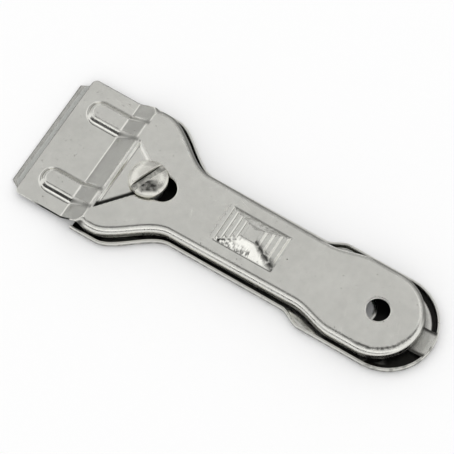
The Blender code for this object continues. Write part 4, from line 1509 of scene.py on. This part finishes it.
class SCRAPER_OT_blade(bpy.types.Operator):
    """Grinds the blade"""

    bl_idname = "scraper.blade"
    bl_label = "Blade"

    def execute(self, context):
        size = context.scene.scraper_blade
        middle = (BLADE_LOW.z + BLADE_HIGH.z) / 2
        bevel_fall = (size.sheet - size.edge) / 2
        stations = [(BLADE_LOW.x, BLADE_HIGH.y, size.sheet / 2)]
        for run, clip, fall in BEVEL_ROWS:
            x, y = BLADE_HIGH.x - size.bevel * (1 - run), BLADE_HIGH.y - size.clip * clip
            stations.append((x, y, size.sheet / 2 - bevel_fall * fall))
        rows = []
        for x, y, h in stations:
            rows.append([(x, y, middle + h), (x, -y, middle + h), (x, -y, middle - h), (x, y, middle - h)])
        made = add_mesh("honed_blade", *lofted(rows))
        surface = bare_steel("honed_steel", context.scene.scraper_finish.blade_roughness)
        finish_piece(made, surface, "blade_set", "blade", sharp=3)
        return {"FINISHED"}


class SCRAPER_OT_spine(bpy.types.Operator):
    """Folds the spine over the back of the blade"""

    bl_idname = "scraper.spine"
    bl_label = "Blade Spine"

    def execute(self, context):
        size = context.scene.scraper_blade
        middle = (SPINE_LOW.z + SPINE_HIGH.z) / 2
        outer = (SPINE_HIGH.z - SPINE_LOW.z) / 2
        inner = size.sheet / 2 + size.spine_gap
        front = SPINE_HIGH.x
        back = BLADE_LOW.x - size.spine_gap
        fold = [(front, inner), (front, outer)]
        fold += [tuple(point) for point in arc(SPINE_LOW.x + outer, 0, outer, 90, 270, FOLD_STEPS)]
        fold += [(front, -outer), (front, -inner), (back, -inner), (back, inner)]
        fold = [(x, middle + z) for x, z in fold]
        made = add_mesh("folded_spine", *prism(fold, SPINE_LOW.y, SPINE_HIGH.y))
        round_edges(made, size.spine_rounding)
        settle(made)
        surface = bare_steel("spine_steel", context.scene.scraper_finish.spine_roughness)
        finish_piece(made, surface, "blade_set", "blade_spine")
        return {"FINISHED"}


class SCRAPER_OT_screw(bpy.types.Operator):
    """Turns the clamp screw, slots its head and winds its thread"""

    bl_idname = "scraper.screw"
    bl_label = "Clamp Screw"

    def execute(self, context):
        size = context.scene.scraper_clamp
        top = size.head_foot + size.head_wall
        bevel = size.chamfer
        profile = [(0, size.shank_foot), (size.shank_radius - bevel, size.shank_foot)]
        profile += [(size.shank_radius, size.shank_foot + bevel), (size.shank_radius, size.shoulder_foot)]
        profile += [(size.shoulder_radius, size.shoulder_foot), (size.shoulder_radius, size.head_foot)]
        profile += [(size.head_radius - bevel, size.head_foot), (size.head_radius, size.head_foot + bevel)]
        profile += [(size.head_radius, top)]
        verts, faces = turned(profile, SCREW_X)
        disc, triangles = self.disc(size)
        first = len(verts)
        verts += [(x, y, top) for x, y in disc]
        faces += [[first + i for i in triangle] for triangle in triangles]
        made = add_mesh("domed_screw", verts, faces)
        x, y, z = read_rows(made.data.vertices, "co", 3).T
        crown = (z > top - MERGE) & (np.hypot(x - SCREW_X, y) < size.head_radius - MERGE)
        keep_mark(made.data, "crown", crown)
        surface = plated_screw()
        run_tree(made, screw_tree(size, context.scene.scraper_wear), size, surface)
        finish_piece(made, surface, "screw", "clamp_screw")
        return {"FINISHED"}

    def disc(self, size):
        """Plan of the head: rings that close up towards the side, and close lines along the driver slot."""
        c, s = math.cos(size.slot_angle), math.sin(size.slot_angle)
        slot_half = size.slot_width / 2
        parts = [circle(0, size.head_radius, TURN_STEPS)]
        for lean in HEAD_RINGS:
            share = math.sin(math.radians(lean))
            steps = max(LEAST_RING_STEPS, round(HEAD_RING_STEPS * share))
            ring = arc(0, 0, size.head_radius * share, 0, 360, steps)[:-1]
            across = np.abs(ring[:, 1] * c - ring[:, 0] * s)
            parts.append(ring[across > slot_half + size.slot_wall * HEAD_RING_CLEAR])
        for side in (-1, 1):
            for walls_out in SLOT_LINES:
                across = side * (slot_half + walls_out * size.slot_wall)
                reach = math.sqrt(size.head_radius**2 - across**2) - SLOT_LINE_CLEAR
                along = np.linspace(-reach, reach, SLOT_LINE_STEPS)
                parts.append(np.stack([along * c - across * s, along * s + across * c], 1))
        points = [Vector(point) for point in np.concatenate(parts) + (SCREW_X, 0)]
        spots, _, triangles, *_ = delaunay_2d_cdt(points, ring_pairs(TURN_STEPS), [], FILL_INSIDE, SNAP)
        return spots, triangles


class SCRAPER_OT_nut(bpy.types.Operator):
    """Turns the nut that is held in the base"""

    bl_idname = "scraper.nut"
    bl_label = "Clamp Nut"

    def execute(self, context):
        size = context.scene.scraper_clamp
        bore, shank, flange, seat = size.nut_bore, size.nut_shank, size.nut_radius, size.nut_seat
        low, high, bevel = NUT_LOW.z, NUT_HIGH.z, size.chamfer
        profile = [(bore, low + bevel), (bore + bevel, low), (shank - bevel / 2, low)]
        profile += [(shank, low + bevel / 2), (shank, seat), (flange, seat)]
        profile += [(flange, high - bevel), (flange - bevel, high)]
        profile += [(bore + bevel, high), (bore, high - bevel)]
        made = add_mesh("flanged_nut", *turned([*profile, profile[0]], SCREW_X))
        surface = bare_steel("nut_steel", context.scene.scraper_finish.nut_roughness)
        finish_piece(made, surface, "base", "clamp_nut", sharp=30)
        return {"FINISHED"}


class SCRAPER_OT_stage(bpy.types.Operator):
    """Sets the pale floor, the soft light and the camera"""

    bl_idname = "scraper.stage"
    bl_label = "Stage"

    def execute(self, context):
        size = context.scene.scraper_stage
        context.scene.view_settings.view_transform = "Standard"
        self.camera(size)
        self.floor(size)
        self.world()
        self.light(size)
        self.cards(size)
        return {"FINISHED"}

    def axes(self, size):
        """Right, up and forward of the camera, and its forward on the level."""
        right = Vector((math.cos(size.turn), math.sin(size.turn), 0))
        level = Vector((-math.sin(size.turn), math.cos(size.turn), 0))
        forward = level * math.cos(size.tilt) - Vector((0, 0, math.sin(size.tilt)))
        return right, right.cross(forward), forward, level

    def camera(self, size):
        right, up, forward, _ = self.axes(size)
        lens = bpy.data.cameras.new("camera")
        lens.lens = size.focal
        lens.clip_start, lens.clip_end = 0.01, 20
        made = bpy.data.objects.new("camera", lens)
        place = -forward * size.distance - right * size.left + up * size.up
        turn = Matrix((right, up, -forward)).transposed().to_4x4()
        made.matrix_world = Matrix.Translation(place) @ turn
        bpy.context.scene.collection.objects.link(made)
        bpy.context.scene.camera = made

    def floor(self, size):
        made = card("floor", size.floor_half, size.floor_half, Matrix.Identity(4))
        made.location.z = -size.floor_drop
        surface = matt("floor", FLOOR_FLECKS, FLECK_SHARE, size.floor, size.floor_fleck)
        made.data.materials.append(surface)

    def world(self):
        made = bpy.data.worlds.new("studio")
        board = blank_board(made)
        light = board.add("ShaderNodeBackground", None, {"Color": (1, 1, 1, 1), "Strength": 1.0})
        board.add("ShaderNodeOutputWorld", None, {"Surface": light})
        bpy.context.scene.world = made

    def light(self, size):
        """Soft box on the near side. It shows in the metal and leaves the floor's shadows alone."""
        name, height, spread, turn, width, strength = SOFT_BOX
        lamp = bpy.data.lights.new(name, "AREA")
        lamp.shape = "RECTANGLE"
        lamp.size, lamp.size_y = 2 * self.half_span(width), 2 * self.half_span(spread)
        lamp.energy = strength * math.pi * lamp.size * lamp.size_y
        made = bpy.data.objects.new(name, lamp)
        made.matrix_world = self.on_arch(size, height, turn)
        made.visible_diffuse = False
        bpy.context.scene.collection.objects.link(made)

    def cards(self, size):
        """Pale cards and dark flags that only the metal mirrors."""
        for name, height, spread, turn, width, shade in CARDS:
            place = self.on_arch(size, height, turn)
            made = card(name, self.half_span(width), self.half_span(spread), place)
            dark, pale = [CARD_DARK * shade] * 3, [CARD_PALE * shade] * 3
            made.data.materials.append(matt(name, CARD_CLOUDS, 1.0, dark, pale))
            made.visible_camera = made.visible_diffuse = made.visible_shadow = False

    def half_span(self, degrees):
        """Half the width of a card that spans these degrees."""
        return ARCH * math.tan(math.radians(degrees / 2))

    def on_arch(self, size, height, turn):
        """Where a card stands, facing the object: its height on the arch and its turn, in degrees."""
        right, _, _, level = self.axes(size)
        way = level * math.cos(math.radians(height)) + Vector((0, 0, math.sin(math.radians(height))))
        facing = Matrix((right, way.cross(right), way)).transposed().to_4x4()
        return Matrix.Rotation(math.radians(turn), 4, "Z") @ Matrix.Translation(way * ARCH) @ facing


GROUPS = {
    "scraper_sheet": SheetSizes,
    "scraper_leaf": LeafOutline,
    "scraper_forms": LeafForms,
    "scraper_base": BaseSizes,
    "scraper_blade": BladeSizes,
    "scraper_clamp": ClampSizes,
    "scraper_finish": Finish,
    "scraper_wear": ShadeAndDarkening,
    "scraper_stage": StageSizes,
}
OPERATORS = (
    SCRAPER_OT_base,
    SCRAPER_OT_leaf,
    SCRAPER_OT_blade,
    SCRAPER_OT_spine,
    SCRAPER_OT_screw,
    SCRAPER_OT_nut,
    SCRAPER_OT_stage,
)


class SCRAPER_PT_panel(bpy.types.Panel):
    """Lists the pieces and their sizes"""

    bl_label = "Window Scraper"
    bl_idname = "SCRAPER_PT_panel"
    bl_space_type = "VIEW_3D"
    bl_region_type = "UI"
    bl_category = "Scraper"

    def draw(self, context):
        for operator in OPERATORS:
            self.layout.operator(operator.bl_idname)
        for key, group in GROUPS.items():
            box = self.layout.box()
            box.label(text=group.__name__)
            for name in group.__annotations__:
                box.prop(getattr(context.scene, key), name)


def register():
    for item in (*GROUPS.values(), *OPERATORS, SCRAPER_PT_panel):
        bpy.utils.register_class(item)
    for key, group in GROUPS.items():
        setattr(bpy.types.Scene, key, PointerProperty(type=group))


def unregister():
    for key in GROUPS:
        delattr(bpy.types.Scene, key)
    for item in (SCRAPER_PT_panel, *reversed(OPERATORS), *reversed(GROUPS.values())):
        bpy.utils.unregister_class(item)


def main():
    register()
    for name in ("base", "leaf", "blade", "spine", "screw", "nut", "stage"):
        getattr(bpy.ops.scraper, name)()


if __name__ == "__main__":
    main()
